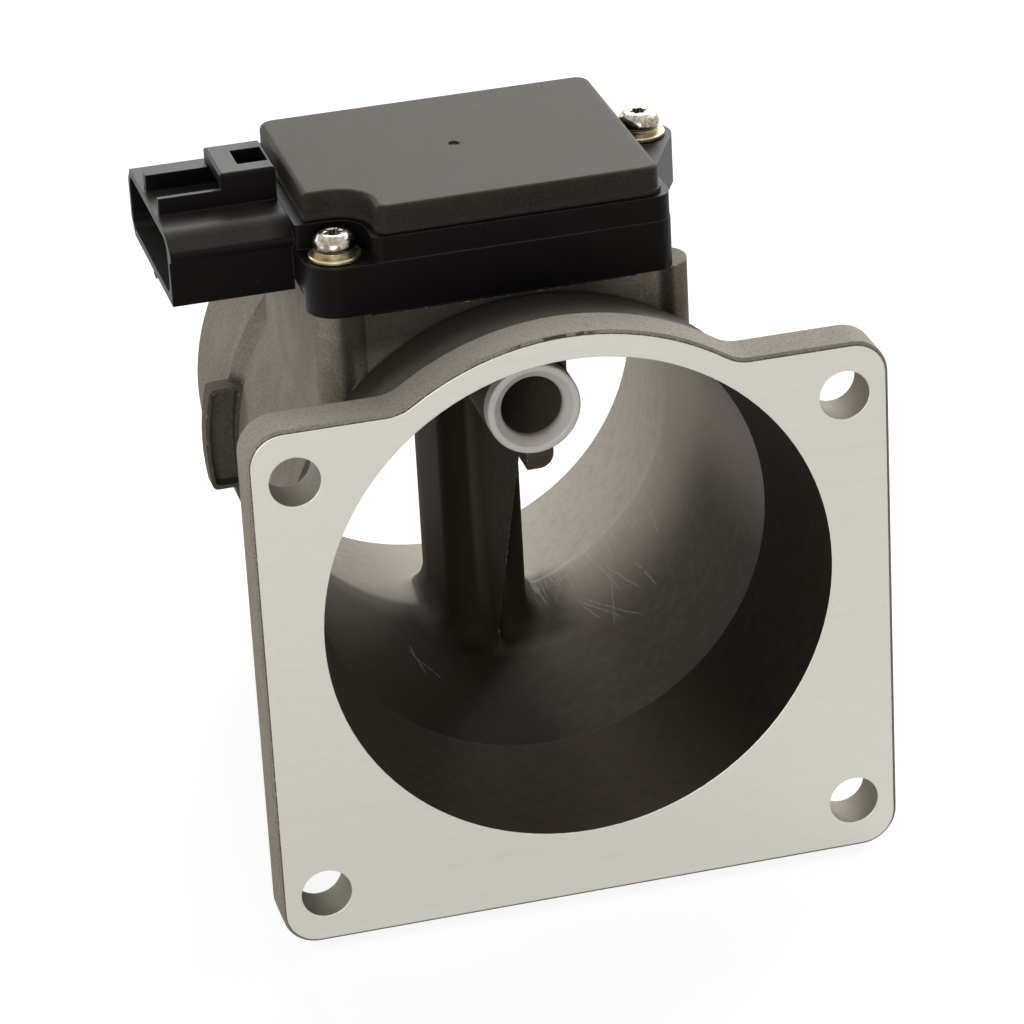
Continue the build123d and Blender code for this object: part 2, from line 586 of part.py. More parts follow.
    # Slots where the terminals and the posts are moulded in, and the holes of the bushings
    with BuildSketch(Plane.YZ.offset(case_left)):
        with Locations((terminal_centre_y, terminal_z)):
            with GridLocations(TERMINAL_PITCH, TERMINAL_PITCH, TERMINAL_COUNT, 1):
                Rectangle(TERMINAL_WIDTH, TERMINAL_THICKNESS)
    extrude(amount=CASE_LEFT_WALL, both=True, mode=Mode.SUBTRACT)
    with BuildSketch(Plane.XY.offset(probe_tip)):
        with Locations((0, PROBE_Y)):
            with GridLocations(POST_SPACING_X, POST_SPACING_Y, 2, 2):
                Rectangle(POST_THICKNESS, POST_WIDTH)
    extrude(amount=floor_top - probe_tip, mode=Mode.SUBTRACT)
    with BuildSketch(Plane.XY.offset(seat_height)):
        with Locations(front_screw, rear_screw):
            Circle(BUSHING_RADIUS)
    extrude(amount=EAR_THICKNESS, mode=Mode.SUBTRACT)
    with BuildSketch(Plane.XY.offset(case_rim - SEAL_DEPTH)):
        seal_outline()
    extrude(amount=SEAL_DEPTH, mode=Mode.SUBTRACT)
module_case.part.label = "module_case"
export_step(module_case.part, "parts/module_case.step")

# Cover: a shallow cap with a foot all round, on the rim of the case
with BuildPart() as module_cover:
    with BuildSketch(Plane.XY.offset(case_rim)):
        notched_outline(COVER_LEFT_LEDGE, COVER_LEDGE, COVER_CORNER_RADIUS)
    extrude(amount=COVER_HEIGHT)
    fillet(faces().sort_by(Axis.Z)[-1].edges(), COVER_ROUNDING)
    with BuildSketch(Plane.XY.offset(case_rim)):
        notched_outline(COVER_LEFT_LEDGE - COVER_FOOT_STEP, COVER_LEDGE - COVER_FOOT_STEP,
                        COVER_CORNER_RADIUS)
    extrude(amount=COVER_FOOT_HEIGHT)
    with BuildSketch(Plane.XY.offset(case_rim)):
        notched_outline(CASE_LEFT_WALL, CASE_WALL, CAVITY_CORNER_RADIUS)
    extrude(amount=COVER_HEIGHT - COVER_TOP_WALL, mode=Mode.SUBTRACT)
    with Locations((*case_centre, cover_top)):
        Hole(GATE_MARK_RADIUS, GATE_MARK_DEPTH)
module_cover.part.label = "module_cover"
export_step(module_cover.part, "parts/module_cover.step")

with BuildPart() as cover_seal:
    with BuildSketch(Plane.XY.offset(case_rim - SEAL_DEPTH)):
        seal_outline()
    extrude(amount=SEAL_DEPTH)
cover_seal.part.label = "cover_seal"
export_step(cover_seal.part, "parts/cover_seal.step")

# Carrier plate and board on the floor of the case
with BuildPart() as base_plate:
    with BuildSketch(Plane.XY.offset(floor_top)):
        notched_outline(CASE_LEFT_WALL, CASE_WALL, CAVITY_CORNER_RADIUS)
        offset(amount=-CARRIER_MARGIN, mode=Mode.REPLACE)
        with Locations((0, PROBE_Y)):
            Circle(CARRIER_PROBE_HOLE_RADIUS, mode=Mode.SUBTRACT)
    extrude(amount=CARRIER_THICKNESS)
base_plate.part.label = "base_plate"
export_step(base_plate.part, "parts/base_plate.step")

with BuildPart() as circuit_board:
    with BuildSketch(Plane.XY.offset(carrier_top)):
        notched_outline(CASE_LEFT_WALL, CASE_WALL, CAVITY_CORNER_RADIUS)
        offset(amount=-BOARD_MARGIN, mode=Mode.REPLACE)
    extrude(amount=BOARD_THICKNESS)
circuit_board.part.label = "circuit_board"
export_step(circuit_board.part, "parts/circuit_board.step")

board_plane = Plane.XY.offset(board_top)

with BuildPart() as control_chip:
    with BuildSketch(board_plane):
        with Locations((case_right - CHIP_FROM_RIGHT, case_back - CHIP_FROM_BACK)):
            Rectangle(CHIP_LENGTH, CHIP_WIDTH)
    extrude(amount=CHIP_HEIGHT)
control_chip.part.label = "control_chip"
export_step(control_chip.part, "parts/control_chip.step")

with BuildPart() as power_transistor:
    with BuildSketch(board_plane):
        with Locations((case_right - TRANSISTOR_FROM_RIGHT, CASE_FRONT + TRANSISTOR_FROM_FRONT)):
            Rectangle(TRANSISTOR_LENGTH, TRANSISTOR_WIDTH)
    extrude(amount=TRANSISTOR_HEIGHT)
power_transistor.part.label = "power_transistor"
export_step(power_transistor.part, "parts/power_transistor.step")

with BuildPart() as chip_resistors:
    with BuildSketch(board_plane):
        with Locations((case_left + RESISTOR_FROM_LEFT, case_back - RESISTOR_FROM_BACK)):
            with GridLocations(RESISTOR_PITCH, RESISTOR_PITCH, RESISTOR_COUNT, 1):
                Rectangle(RESISTOR_WIDTH, RESISTOR_LENGTH)
    extrude(amount=RESISTOR_HEIGHT)
chip_resistors.part.label = "chip_resistors"
export_step(chip_resistors.part, "parts/chip_resistors.step")

with BuildPart() as filter_capacitors:
    with BuildSketch(board_plane):
        with Locations((case_left + CAPACITOR_FROM_LEFT, case_centre[1])):
            with GridLocations(CAPACITOR_PITCH, CAPACITOR_PITCH, 1, CAPACITOR_COUNT):
                Rectangle(CAPACITOR_LENGTH, CAPACITOR_WIDTH)
    extrude(amount=CAPACITOR_HEIGHT)
filter_capacitors.part.label = "filter_capacitors"
export_step(filter_capacitors.part, "parts/filter_capacitors.step")

# Terminals: blades along the socket, each with a leg down to the board
terminal_places = GridLocations(TERMINAL_PITCH, TERMINAL_PITCH, 1, TERMINAL_COUNT).locations
for number, place in enumerate(terminal_places, start=1):
    with BuildPart() as terminal:
        with BuildSketch(Plane.XZ.offset(-terminal_centre_y - place.position.Y)):
            with Locations((case_left - TERMINAL_REACH, terminal_z)):
                Rectangle(terminal_leg_x - case_left + TERMINAL_REACH, TERMINAL_THICKNESS,
                          align=(Align.MIN, Align.CENTER))
            with Locations((terminal_leg_x, board_top)):
                Rectangle(TERMINAL_THICKNESS, terminal_z + TERMINAL_THICKNESS / 2 - board_top,
                          align=(Align.MAX, Align.MIN))
        extrude(amount=TERMINAL_WIDTH / 2, both=True)
        chamfer(faces().sort_by(Axis.X)[0].edges(), TERMINAL_TIP_CHAMFER)
    terminal.part.label = f"terminal_{number}"
    export_step(terminal.part, f"parts/terminal_{number}.step")

# Posts down the probe neck, from the board to the elements in the sampling tube
post_places = GridLocations(POST_SPACING_X, POST_SPACING_Y, 2, 2).locations
for number, place in enumerate(post_places, start=1):
    with BuildPart() as element_post:
        with BuildSketch(Plane((0, PROBE_Y, DUCT_HEIGHT - POST_OVERHANG))):
            with Locations((place.position.X, place.position.Y)):
                Rectangle(POST_THICKNESS, POST_WIDTH)
        extrude(amount=carrier_top - DUCT_HEIGHT + POST_OVERHANG)
    element_post.part.label = f"element_post_{number}"
    export_step(element_post.part, f"parts/element_post_{number}.step")

for name, side in (("hot_element", -1), ("cold_element", 1)):
    with BuildPart() as element:
        with BuildSketch(Plane.YZ):
            with Locations((PROBE_Y + side * POST_SPACING_Y / 2, DUCT_HEIGHT)):
                Circle(ELEMENT_RADIUS)
        extrude(amount=(POST_SPACING_X - POST_THICKNESS) / 2, both=True)
    element.part.label = name
    export_step(element.part, f"parts/{name}.step")

with BuildPart() as probe_o_ring:
    with Locations((0, PROBE_Y, o_ring_z)):
        Torus(o_ring_centre_radius, O_RING_RADIUS)
probe_o_ring.part.label = "probe_o_ring"
export_step(probe_o_ring.part, "parts/probe_o_ring.step")

# Fasteners of the two ears, from the bushing up to the screw
with BuildPart() as ear_bushings:
    with BuildSketch(Plane.XY.offset(seat_height)):
        with Locations(front_screw, rear_screw):
            Circle(BUSHING_RADIUS)
            Circle(BUSHING_HOLE_RADIUS, mode=Mode.SUBTRACT)
    extrude(amount=EAR_THICKNESS)
ear_bushings.part.label = "ear_bushings"
export_step(ear_bushings.part, "parts/ear_bushings.step")

with BuildPart() as flat_washers:
    with BuildSketch(Plane.XY.offset(ear_top)):
        with Locations(front_screw, rear_screw):
            Circle(WASHER_RADIUS)
            Circle(WASHER_HOLE_RADIUS, mode=Mode.SUBTRACT)
    extrude(amount=WASHER_THICKNESS)
    washer_rims = edges().filter_by(GeomType.CIRCLE).filter_by(lambda e: e.radius > WASHER_HOLE_RADIUS)
    chamfer(washer_rims, WASHER_CHAMFER)
flat_washers.part.label = "flat_washers"
export_step(flat_washers.part, "parts/flat_washers.step")

with BuildPart() as lock_washers:
    with BuildSketch(Plane.XY.offset(washer_top)):
        with Locations(front_screw, rear_screw):
            Circle(LOCK_WASHER_RADIUS)
            Circle(LOCK_WASHER_HOLE_RADIUS, mode=Mode.SUBTRACT)
            Rectangle(LOCK_WASHER_RADIUS, LOCK_WASHER_SPLIT, align=(Align.MIN, Align.CENTER),
                      mode=Mode.SUBTRACT)
    extrude(amount=LOCK_WASHER_THICKNESS)
lock_washers.part.label = "lock_washers"
export_step(lock_washers.part, "parts/lock_washers.step")

with BuildPart() as module_screws:
    with BuildSketch(Plane.XY.offset(head_seat)):
        with Locations(front_screw, rear_screw):
            Circle(HEAD_RADIUS)
    extrude(amount=HEAD_HEIGHT)
    fillet(edges().group_by(Axis.Z)[-1], HEAD_ROUNDING)
    with BuildSketch(Plane.XY.offset(head_seat)):
        with Locations(front_screw, rear_screw):
            Circle(SHANK_RADIUS)
    extrude(amount=seat_height - SHANK_ENGAGEMENT - head_seat)
    with BuildSketch(Plane.XY.offset(head_seat + HEAD_HEIGHT)):
        with Locations(front_screw, rear_screw):
            Circle(RECESS_RADIUS)
            with PolarLocations(RECESS_RADIUS, RECESS_LOBES):
                Circle(RECESS_LOBE_RADIUS)
    extrude(amount=-RECESS_DEPTH, mode=Mode.SUBTRACT)
module_screws.part.label = "module_screws"
export_step(module_screws.part, "parts/module_screws.step")
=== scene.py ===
"""Finish a mass airflow sensor and set the studio round it.

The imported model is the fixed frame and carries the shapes. This script dresses every node of
it, adds the fine pieces that the solids leave plain, and sets the floor, lamps and camera.
The object's own sizes and places are millimetres, and the studio's are metres. +Y is the
direction of the air.
"""

import logging
import math
from dataclasses import dataclass, field
from enum import Enum
from typing import Sequence

import bpy
import numpy as np
from mathutils import Euler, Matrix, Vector


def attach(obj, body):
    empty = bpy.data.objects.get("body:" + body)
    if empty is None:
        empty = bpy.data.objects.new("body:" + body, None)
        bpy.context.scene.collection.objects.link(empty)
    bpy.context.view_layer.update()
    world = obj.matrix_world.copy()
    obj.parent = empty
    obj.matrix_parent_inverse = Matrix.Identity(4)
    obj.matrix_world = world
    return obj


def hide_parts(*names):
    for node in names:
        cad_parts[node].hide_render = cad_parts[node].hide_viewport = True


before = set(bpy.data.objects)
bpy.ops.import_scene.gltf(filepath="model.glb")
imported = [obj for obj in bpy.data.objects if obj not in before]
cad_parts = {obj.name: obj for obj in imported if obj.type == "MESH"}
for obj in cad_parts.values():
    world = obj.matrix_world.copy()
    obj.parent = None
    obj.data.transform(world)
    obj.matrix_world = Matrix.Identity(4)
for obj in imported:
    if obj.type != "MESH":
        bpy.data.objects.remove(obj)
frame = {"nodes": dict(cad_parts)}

MM = 0.001
ROOT = "root"

log = logging.getLogger("airflow_sensor")

Colour = tuple[float, float, float]
Triple = tuple[float, float, float]
Socket = bpy.types.NodeSocket
Material = bpy.types.Material

WHITE: Colour = (1.0, 1.0, 1.0)


class Op(Enum):
    """Operations of the Math node that the finishes use."""

    ADD = "ADD"
    SUBTRACT = "SUBTRACT"
    MULTIPLY = "MULTIPLY"
    DIVIDE = "DIVIDE"
    POWER = "POWER"
    ABSOLUTE = "ABSOLUTE"
    MAXIMUM = "MAXIMUM"
    MINIMUM = "MINIMUM"
    ARCTAN2 = "ARCTAN2"


class Blend(Enum):
    """Ways to mix two colours."""

    MIX = "MIX"
    MULTIPLY = "MULTIPLY"


class Ray(Enum):
    """Kinds of ray that the floor and the world tell apart."""

    CAMERA = "Is Camera Ray"
    GLOSSY = "Is Glossy Ray"
    TRANSMISSION = "Is Transmission Ray"


class Direction(Enum):
    """The axis that a drawn or milled grain runs along, as how much each axis is squeezed."""

    X = (0.04, 1.0, 1.0)
    Y = (1.0, 0.04, 1.0)
    Z = (1.0, 1.0, 0.04)


class Value:
    """A number in a shader. Python operators on it add Math nodes."""

    def __init__(self, nodes: "Nodes", socket: Socket) -> None:
        """Keep the socket and the nodes that it belongs to."""
        self.nodes = nodes
        self.socket = socket

    def _math(self, op: Op, first: "Value | float", second: "Value | float") -> "Value":
        """Add one Math node on two numbers.

        Args:
            op: the operation.
            first: its first number.
            second: its second number.

        Returns:
            The result as a new value.
        """
        return self.nodes.value("ShaderNodeMath", {"operation": op.value}, {0: first, 1: second})

    def __add__(self, other: "Value | float") -> "Value":
        """Add."""
        return self._math(Op.ADD, self, other)

    def __radd__(self, other: float) -> "Value":
        """Add, from the right."""
        return self._math(Op.ADD, other, self)

    def __sub__(self, other: "Value | float") -> "Value":
        """Subtract."""
        return self._math(Op.SUBTRACT, self, other)

    def __rsub__(self, other: float) -> "Value":
        """Subtract from a number."""
        return self._math(Op.SUBTRACT, other, self)

    def __mul__(self, other: "Value | float") -> "Value":
        """Multiply."""
        return self._math(Op.MULTIPLY, self, other)

    def __rmul__(self, other: float) -> "Value":
        """Multiply, from the right."""
        return self._math(Op.MULTIPLY, other, self)

    def __truediv__(self, other: "Value | float") -> "Value":
        """Divide."""
        return self._math(Op.DIVIDE, self, other)

    def __pow__(self, other: float) -> "Value":
        """Raise to a power."""
        return self._math(Op.POWER, self, other)

    def __abs__(self) -> "Value":
        """Drop the sign."""
        return self._math(Op.ABSOLUTE, self, 0.0)

    def larger(self, other: "Value | float") -> "Value":
        """Give the larger of two numbers."""
        return self._math(Op.MAXIMUM, self, other)

    def smaller(self, other: "Value | float") -> "Value":
        """Give the smaller of two numbers."""
        return self._math(Op.MINIMUM, self, other)

    def angle_over(self, other: "Value") -> "Value":
        """Give the angle whose tangent is this number over another."""
        return self._math(Op.ARCTAN2, self, other)


def largest(values: Sequence[Value]) -> Value:
    """Give the largest of some numbers.

    Args:
        values: the numbers.

    Returns:
        The largest of them at each point.
    """
    result = values[0]
    for value in values[1:]:
        result = result.larger(value)
    return result


@dataclass(frozen=True)
class Step:
    """A smooth change, from `least` at the start to `most` at the end and beyond each.

    A step whose start is above its end runs the other way.
    """

    start: float
    end: float
    most: float = 1.0
    least: float = 0.0

    def __call__(self, value: Value) -> Value:
        """Read the step at a number."""
        inputs = {0: value, 1: self.start, 2: self.end, 3: self.least, 4: self.most}
        return value.nodes.value("ShaderNodeMapRange", {"interpolation_type": "SMOOTHSTEP"}, inputs)


@dataclass(frozen=True)
class Band:
    """A mask that is `most` within `half` of a centre, and fades to 0 over `soft` beyond."""

    centre: float
    half: float
    soft: float
    most: float = 1.0

    def __call__(self, value: Value) -> Value:
        """Read the band at a number."""
        return Step(self.half + self.soft, self.half, self.most)(abs(value - self.centre))


@dataclass(frozen=True)
class Cloud:
    """A cloudy field: the size of its blots in millimetres, its octaves and their strength."""

    size: float
    octaves: float = 3.0
    strength: float = 0.6


class Nodes:
    """The nodes of a material or of the world, which are added through this class alone."""

    def __init__(self, tree: bpy.types.NodeTree) -> None:
        """Start from an empty tree."""
        self.tree = tree
        self.tree.nodes.clear()

    def node(self, kind: str, settings: dict, inputs: dict) -> bpy.types.Node:
        """Add a node, set its options and fill or link its sockets.

        Args:
            kind: the node's type.
            settings: its options, set before the sockets.
            inputs: a number, colour, value or socket for each socket, by name or place.

        Returns:
            The node.
        """
        made = self.tree.nodes.new(kind)
        for key, setting in settings.items():
            setattr(made, key, setting)
        for key, given in inputs.items():
            self.fill(made.inputs[key], given)
        return made

    def fill(self, socket: Socket, given: object) -> None:
        """Link something to a socket or set the socket.

        Args:
            socket: the socket.
            given: a value or a socket to link, or a number, vector or colour.
        """
        source = given.socket if isinstance(given, Value) else given
        if isinstance(source, Socket):
            self.tree.links.new(source, socket)
        elif socket.type == "RGBA":
            socket.default_value = (*source, 1.0)
        else:
            socket.default_value = source

    def value(self, kind: str, settings: dict, inputs: dict, output: int | str = 0) -> Value:
        """Add a node and take one of its outputs as a number."""
        return Value(self, self.node(kind, settings, inputs).outputs[output])

    def seen_by(self, *rays: Ray) -> Value:
        """Give 1 to rays of some kinds and 0 to the others.

        Args:
            rays: the kinds.

        Returns:
            1 or 0.
        """
        path = self.node("ShaderNodeLightPath", {}, {})
        return largest([Value(self, path.outputs[ray.value]) for ray in rays])


class Paint(Nodes):
    """One material under work."""

    line_octaves: float = 4.0
    line_strength: float = 0.65
    bevel_samples: int = 6
    edge_turn: Step = Step(0.99, 0.88)

    def __init__(self, name: str) -> None:
        """Start a material with a Principled shader and object coordinates in millimetres.

        Args:
            name: the material's name, which is its slot in the record.
        """
        self.material = bpy.data.materials.new(name)
        self.material.use_nodes = True
        super().__init__(self.material.node_tree)
        self.shader = self.node("ShaderNodeBsdfPrincipled", {}, {})
        self.node("ShaderNodeOutputMaterial", {}, {0: self.shader.outputs[0]})
        metres = self.node("ShaderNodeTexCoord", {}, {}).outputs["Object"]
        self.place = self.stretched(metres, (1.0 / MM, 1.0 / MM, 1.0 / MM))

    def stretched(self, place: Socket, by: Triple) -> Socket:
        """Multiply a vector, axis by axis."""
        settings = {"operation": "MULTIPLY"}
        return self.node("ShaderNodeVectorMath", settings, {0: place, 1: by}).outputs[0]

    def axis(self, name: str) -> Value:
        """Give one coordinate of the surface in millimetres, X, Y or Z."""
        return self.value("ShaderNodeSeparateXYZ", {}, {0: self.place}, name)

    def mix(self, factor: Value | float, first: object, second: object,
            mode: Blend = Blend.MIX) -> Socket:
        """Mix two colours.

        Args:
            factor: 0 gives the first colour, 1 the second.
            first: a colour or its socket.
            second: a colour or its socket.
            mode: the way to mix them.

        Returns:
            The mixed colour's socket.
        """
        settings = {"data_type": "RGBA", "blend_type": mode.value, "clamp_factor": True}
        return self.node("ShaderNodeMix", settings, {0: factor, 6: first, 7: second}).outputs[2]

    def noise(self, cloud: Cloud, place: Socket | None = None) -> Value:
        """Give a cloudy field.

        Args:
            cloud: its size, octaves and strength.
            place: the coordinates it reads, in millimetres, or the surface's own.

        Returns:
            A value round 0.5.
        """
        return self.value("ShaderNodeTexNoise", {}, {
            "Vector": place or self.place,
            "Scale": 1.0 / cloud.size,
            "Detail": cloud.octaves,
            "Roughness": cloud.strength,
        })

    def drawn(self, direction: Direction, gap: float) -> Value:
        """Give fine parallel lines, as drawing or milling leaves.

        Args:
            direction: the axis the lines run along.
            gap: the distance between lines in millimetres.

        Returns:
            A value round 0.5.
        """
        cloud = Cloud(gap, self.line_octaves, self.line_strength)
        return self.noise(cloud, self.stretched(self.place, direction.value))

    def slanted(self, cloud: Cloud, turn: Triple, squeeze: Triple,
                place: Socket | None = None) -> Value:
        """Give a cloudy field drawn out into slanted streaks.

        Args:
            cloud: its size, octaves and strength.
            turn: the turn of the streaks in degrees.
            squeeze: how much each axis is squeezed.
            place: the coordinates it reads, in millimetres, or the surface's own.

        Returns:
            A value round 0.5.
        """
        turned = self.node("ShaderNodeMapping", {}, {
            "Vector": place or self.place,
            "Rotation": tuple(math.radians(angle) for angle in turn),
            "Scale": squeeze,
        })
        return self.noise(cloud, turned.outputs[0])

    def specks(self, gap: float, share: float) -> Value:
        """Give small round spots.

        Args:
            gap: the distance between them in millimetres.
            share: how much of that distance a spot fills.

        Returns:
            1 in a spot, 0 elsewhere.
        """
        inputs = {"Vector": self.place, "Scale": 1.0 / gap, "Randomness": 1.0}
        distance = self.value("ShaderNodeTexVoronoi", {"feature": "F1"}, inputs, "Distance")
        return Step(share, share * 0.5)(distance)

    def facing(self) -> Socket:
        """Give the surface's direction with its edges sharp."""
        return self.node("ShaderNodeNewGeometry", {}, {}).outputs["Normal"]

    def eased(self, radius: float) -> Socket:
        """Give the surface's direction with its edges rounded by a radius in millimetres."""
        settings = {"samples": self.bevel_samples}
        return self.node("ShaderNodeBevel", settings, {"Radius": radius * MM}).outputs[0]

    def edge(self, rounded: Socket) -> Value:
        """Give a mask of the edges, where the rounded direction leaves the sharp one.

        Args:
            rounded: what eased() gave.

        Returns:
            A value that grows from 0 on the flat to 1 on an edge.
        """
        settings, inputs = {"operation": "DOT_PRODUCT"}, {0: rounded, 1: self.facing()}
        alike = self.value("ShaderNodeVectorMath", settings, inputs, "Value")
        return self.edge_turn(alike)

    def relief(self, height: Value, depth: float, rounded: Socket) -> None:
        """Give the surface a relief.

        Args:
            height: the relief's height, from 0 to 1.
            depth: how deep it is in millimetres.
            rounded: the surface's direction from eased().
        """
        inputs = {"Height": height, "Distance": depth * MM, "Strength": 1.0, "Normal": rounded}
        self.fill(self.shader.inputs["Normal"], self.node("ShaderNodeBump", {}, inputs).outputs[0])

    def finish(self, sockets: dict) -> Material:
        """Fill or link sockets of the Principled shader.

        Args:
            sockets: a number, colour or value for each socket name.

        Returns:
            The finished material.
        """
        for key, given in sockets.items():
            self.fill(self.shader.inputs[key], given)
        return self.material


class Finish:
    """What a node is dressed in. Each finish makes one material."""

    slot: str

    def make(self) -> Material:
        """Make the material."""
        raise NotImplementedError


class CastingPaint(Paint):
    """The casting's material under work, with the places and fields that its layers share."""

    def __init__(self, name: str) -> None:
        """Work out the coordinates, the distance from the bore's axis and the fields.

        Args:
            name: the material's name.
        """
        super().__init__(name)
        self.x, self.y, self.z = (self.axis(axis) for axis in "XYZ")
        self.radius = (self.x * self.x + self.z * self.z) ** 0.5
        self.grain = self.noise(Cloud(0.42, 2.0, 0.55))
        self.pits = self.noise(Cloud(0.75))
        self.blot = self.noise(Cloud(2.4, 4.0, 0.62))
        self.cloud = self.noise(Cloud(11.0, 3.0, 0.5))

    def wander(self, reach: float) -> Value:
        """Give a cloudy shift of up to half a reach each way, for the edge of a mask."""
        return (self.cloud - 0.5) * reach


@dataclass(frozen=True)
class SandSkin:
    """The sand-cast skin, with painted light and shade: its rim's top painted paler as lit, and its
    bell, recess and lug painted dark as shade.

    A step or band is named for the place that it masks and the coordinate that it reads.
    """

    colour: Colour = (0.385, 0.342, 0.276)
    low: Colour = (0.315, 0.273, 0.213)
    bright: Colour = (0.700, 0.680, 0.630)
    # rim: painted light, the paler colour of the flange rim's lit top.
    rim: Colour = (0.520, 0.470, 0.390)
    # bell and shade: painted shade, for the bell under the module and for the recess and the lug.
    bell: Colour = (0.210, 0.198, 0.160)
    shade: Colour = (0.062, 0.054, 0.042)
    speck: Colour = (0.420, 0.400, 0.370)
    clouded: Step = Step(0.32, 0.68)
    blotched: Step = Step(0.45, 0.70, 0.28)
    pitted: Step = Step(0.46, 0.34, 0.20)
    grained: Step = Step(0.46, 0.64, 0.42)
    lit_rim_y: Step = Step(9.3, 9.0)
    lit_rim_z: Step = Step(28.0, 42.0, 1.0, 0.4)
    lit_rim_x: Step = Step(24.0, 6.0, 1.0, 0.45)
    bell_radius: Step = Step(50.3, 50.8)
    bell_y: Band = Band(19.2, 9.9, 0.4)
    bell_shade_y: Step = Step(13.0, 23.0)
    bell_wander: float = 6.0
    recess_z: Step = Step(38.0, 46.0)
    recess_y: Band = Band(33.0, 4.6, 1.2)
    recess_radius: Step = Step(48.0, 49.0)
    recess_left_x: Step = Step(-40.0, -34.0)
    recess_right_x: Step = Step(24.0, 10.0, 0.92, 0.22)
    lug_y: Band = Band(93.2, 2.2, 0.3, 0.75)
    lug_radius: Step = Step(44.0, 45.0)
    lug_z: Band = Band(0.0, 13.0, 2.0)
    lug_x: Step = Step(-38.0, -40.0)

    def cover(self, paint: CastingPaint) -> Socket:
        """Give the skin's colour.

        Args:
            paint: the casting's material.

        Returns:
            The colour's socket.
        """
        x, y, z, radius = paint.x, paint.y, paint.z, paint.radius
        skin = paint.mix(self.clouded(paint.cloud), self.low, self.colour)
        skin = paint.mix(self.blotched(paint.blot), skin, self.low)
        skin = paint.mix(self.pitted(paint.pits), skin, self.bright)
        # Painted light: the top of the flange rim is painted paler where light falls on it.
        skin = paint.mix(self.lit_rim_y(y) * self.lit_rim_z(z) * self.lit_rim_x(x), skin, self.rim)
        # Painted shade: the bell is darker, and darkest towards the back under the module.
        bell = paint.mix(self.bell_shade_y(y + paint.wander(self.bell_wander)), self.bell, self.shade)
        skin = paint.mix(self.bell_radius(radius) * self.bell_y(y), skin, bell)
        # Painted shade in the recess under the module and on the lug.
        recess = self.recess_z(z) * self.recess_y(y) * self.recess_radius(radius)
        recess = recess * self.recess_left_x(x) * self.recess_right_x(x)
        skin = paint.mix(recess, skin, self.shade)
        lug = self.lug_y(y) * self.lug_radius(radius) * self.lug_z(z) * self.lug_x(x)
        skin = paint.mix(lug, skin, self.shade)
        return paint.mix(self.grained(paint.grain), skin, self.speck, Blend.MULTIPLY)


@dataclass(frozen=True)
class Scuffs:
    """Scratches and streaks on the throat wall, on and ahead of the die split.

    The wall is unrolled to u, the angle from straight down times the bore's radius, and y.
    Each scratch is a line from (angle in degrees, y) to the same. It fades where a point is
    more than a hair's width from the line or near its ends.
    """

    wall_radius: float = 44.0
    wave: Cloud = Cloud(5.0, 2.0, 0.5)
    waviness: float = 0.9
    scratches: tuple = (
        (35.0, 84.0, 36.5, 68.5),
        (36.0, 82.0, 41.5, 63.5),
        (37.5, 79.0, 30.0, 60.0),
        (26.0, 76.5, 38.5, 55.0),
        (24.5, 77.0, 33.5, 60.0),
        (25.5, 73.5, 28.0, 64.0),
        (44.0, 74.0, 45.5, 60.0),
        (57.0, 83.0, 54.0, 72.0),
        (-26.0, 69.0, -24.5, 56.0),
        (-27.5, 67.0, -20.0, 55.0),
    )
    hair: Step = Step(0.24, 0.05)
    between_ends: Band = Band(0.5, 0.3, 0.2)
    gaps: Cloud = Cloud(1.6, 2.0)
    broken: Step = Step(0.28, 0.50, 0.30)
    streak: Cloud = Cloud(0.45, 2.0, 0.5)
    streak_turns: tuple = (24.0, -30.0)
    streak_squeeze: Triple = (1.0, 0.05, 1.0)
    streaked: Step = Step(0.54, 0.70)
    right_u: Band = Band(28.0, 18.0, 18.0)
    scuffed_y: Band = Band(86.0, 3.0, 6.0, 0.20)
    worn_y: Band = Band(88.0, 1.0, 3.0, 0.16)
    split_y: Band = Band(90.0, 0.15, 0.5, 0.45)
    split_broken: Step = Step(0.30, 0.52)

    def mask(self, paint: CastingPaint) -> Value:
        """Give a mask of the scuffs.

        Args:
            paint: the casting's material.

        Returns:
            1 on a bright scratch, 0 elsewhere.
        """
        y, wave = paint.y, paint.noise(self.wave)
        u = paint.x.angle_over(0.0 - paint.z) * self.wall_radius + (wave - 0.5) * self.waviness
        marks = largest([self._scratch(u, y, ends) for ends in self.scratches])
        flat = paint.node("ShaderNodeCombineXYZ", {}, {0: u, 1: y, 2: 0.0}).outputs[0]
        one, other = (self._streaks(paint, flat, turn) for turn in self.streak_turns)
        right = self.right_u(u)
        rubbed = ((one + other) * self.scuffed_y(y) + self.worn_y(y)) * right
        split = self.split_y(y) * right * self.split_broken(wave)
        return largest([marks * self.broken(paint.noise(self.gaps)), rubbed, split])

    def _scratch(self, u: Value, y: Value, ends: tuple) -> Value:
        """Give a mask of one scratch.

        Args:
            u: the coordinate round the unrolled wall.
            y: the coordinate along it.
            ends: the angle and y of one end, then of the other.

        Returns:
            1 on the scratch, 0 elsewhere.
        """
        angle, from_y, other_angle, other_y = ends
        degree = math.radians(1.0) * self.wall_radius
        run, climb = (other_angle - angle) * degree, other_y - from_y
        length = math.hypot(run, climb)
        round_wall, along_bore = u - angle * degree, y - from_y
        across = abs(round_wall * climb - along_bore * run) / length
        done = (round_wall * run + along_bore * climb) / length ** 2
        return self.hair(across) * self.between_ends(done)

    def _streaks(self, paint: Paint, flat: Socket, turn: float) -> Value:
        """Give fine slanted streaks on the unrolled wall.

        Args:
            paint: the casting's material.
            flat: the unrolled coordinates.
            turn: the slant in degrees.

        Returns:
            1 on a streak, 0 elsewhere.
        """
        return self.streaked(paint.slanted(self.streak, (0.0, 0.0, turn), self.streak_squeeze, flat))


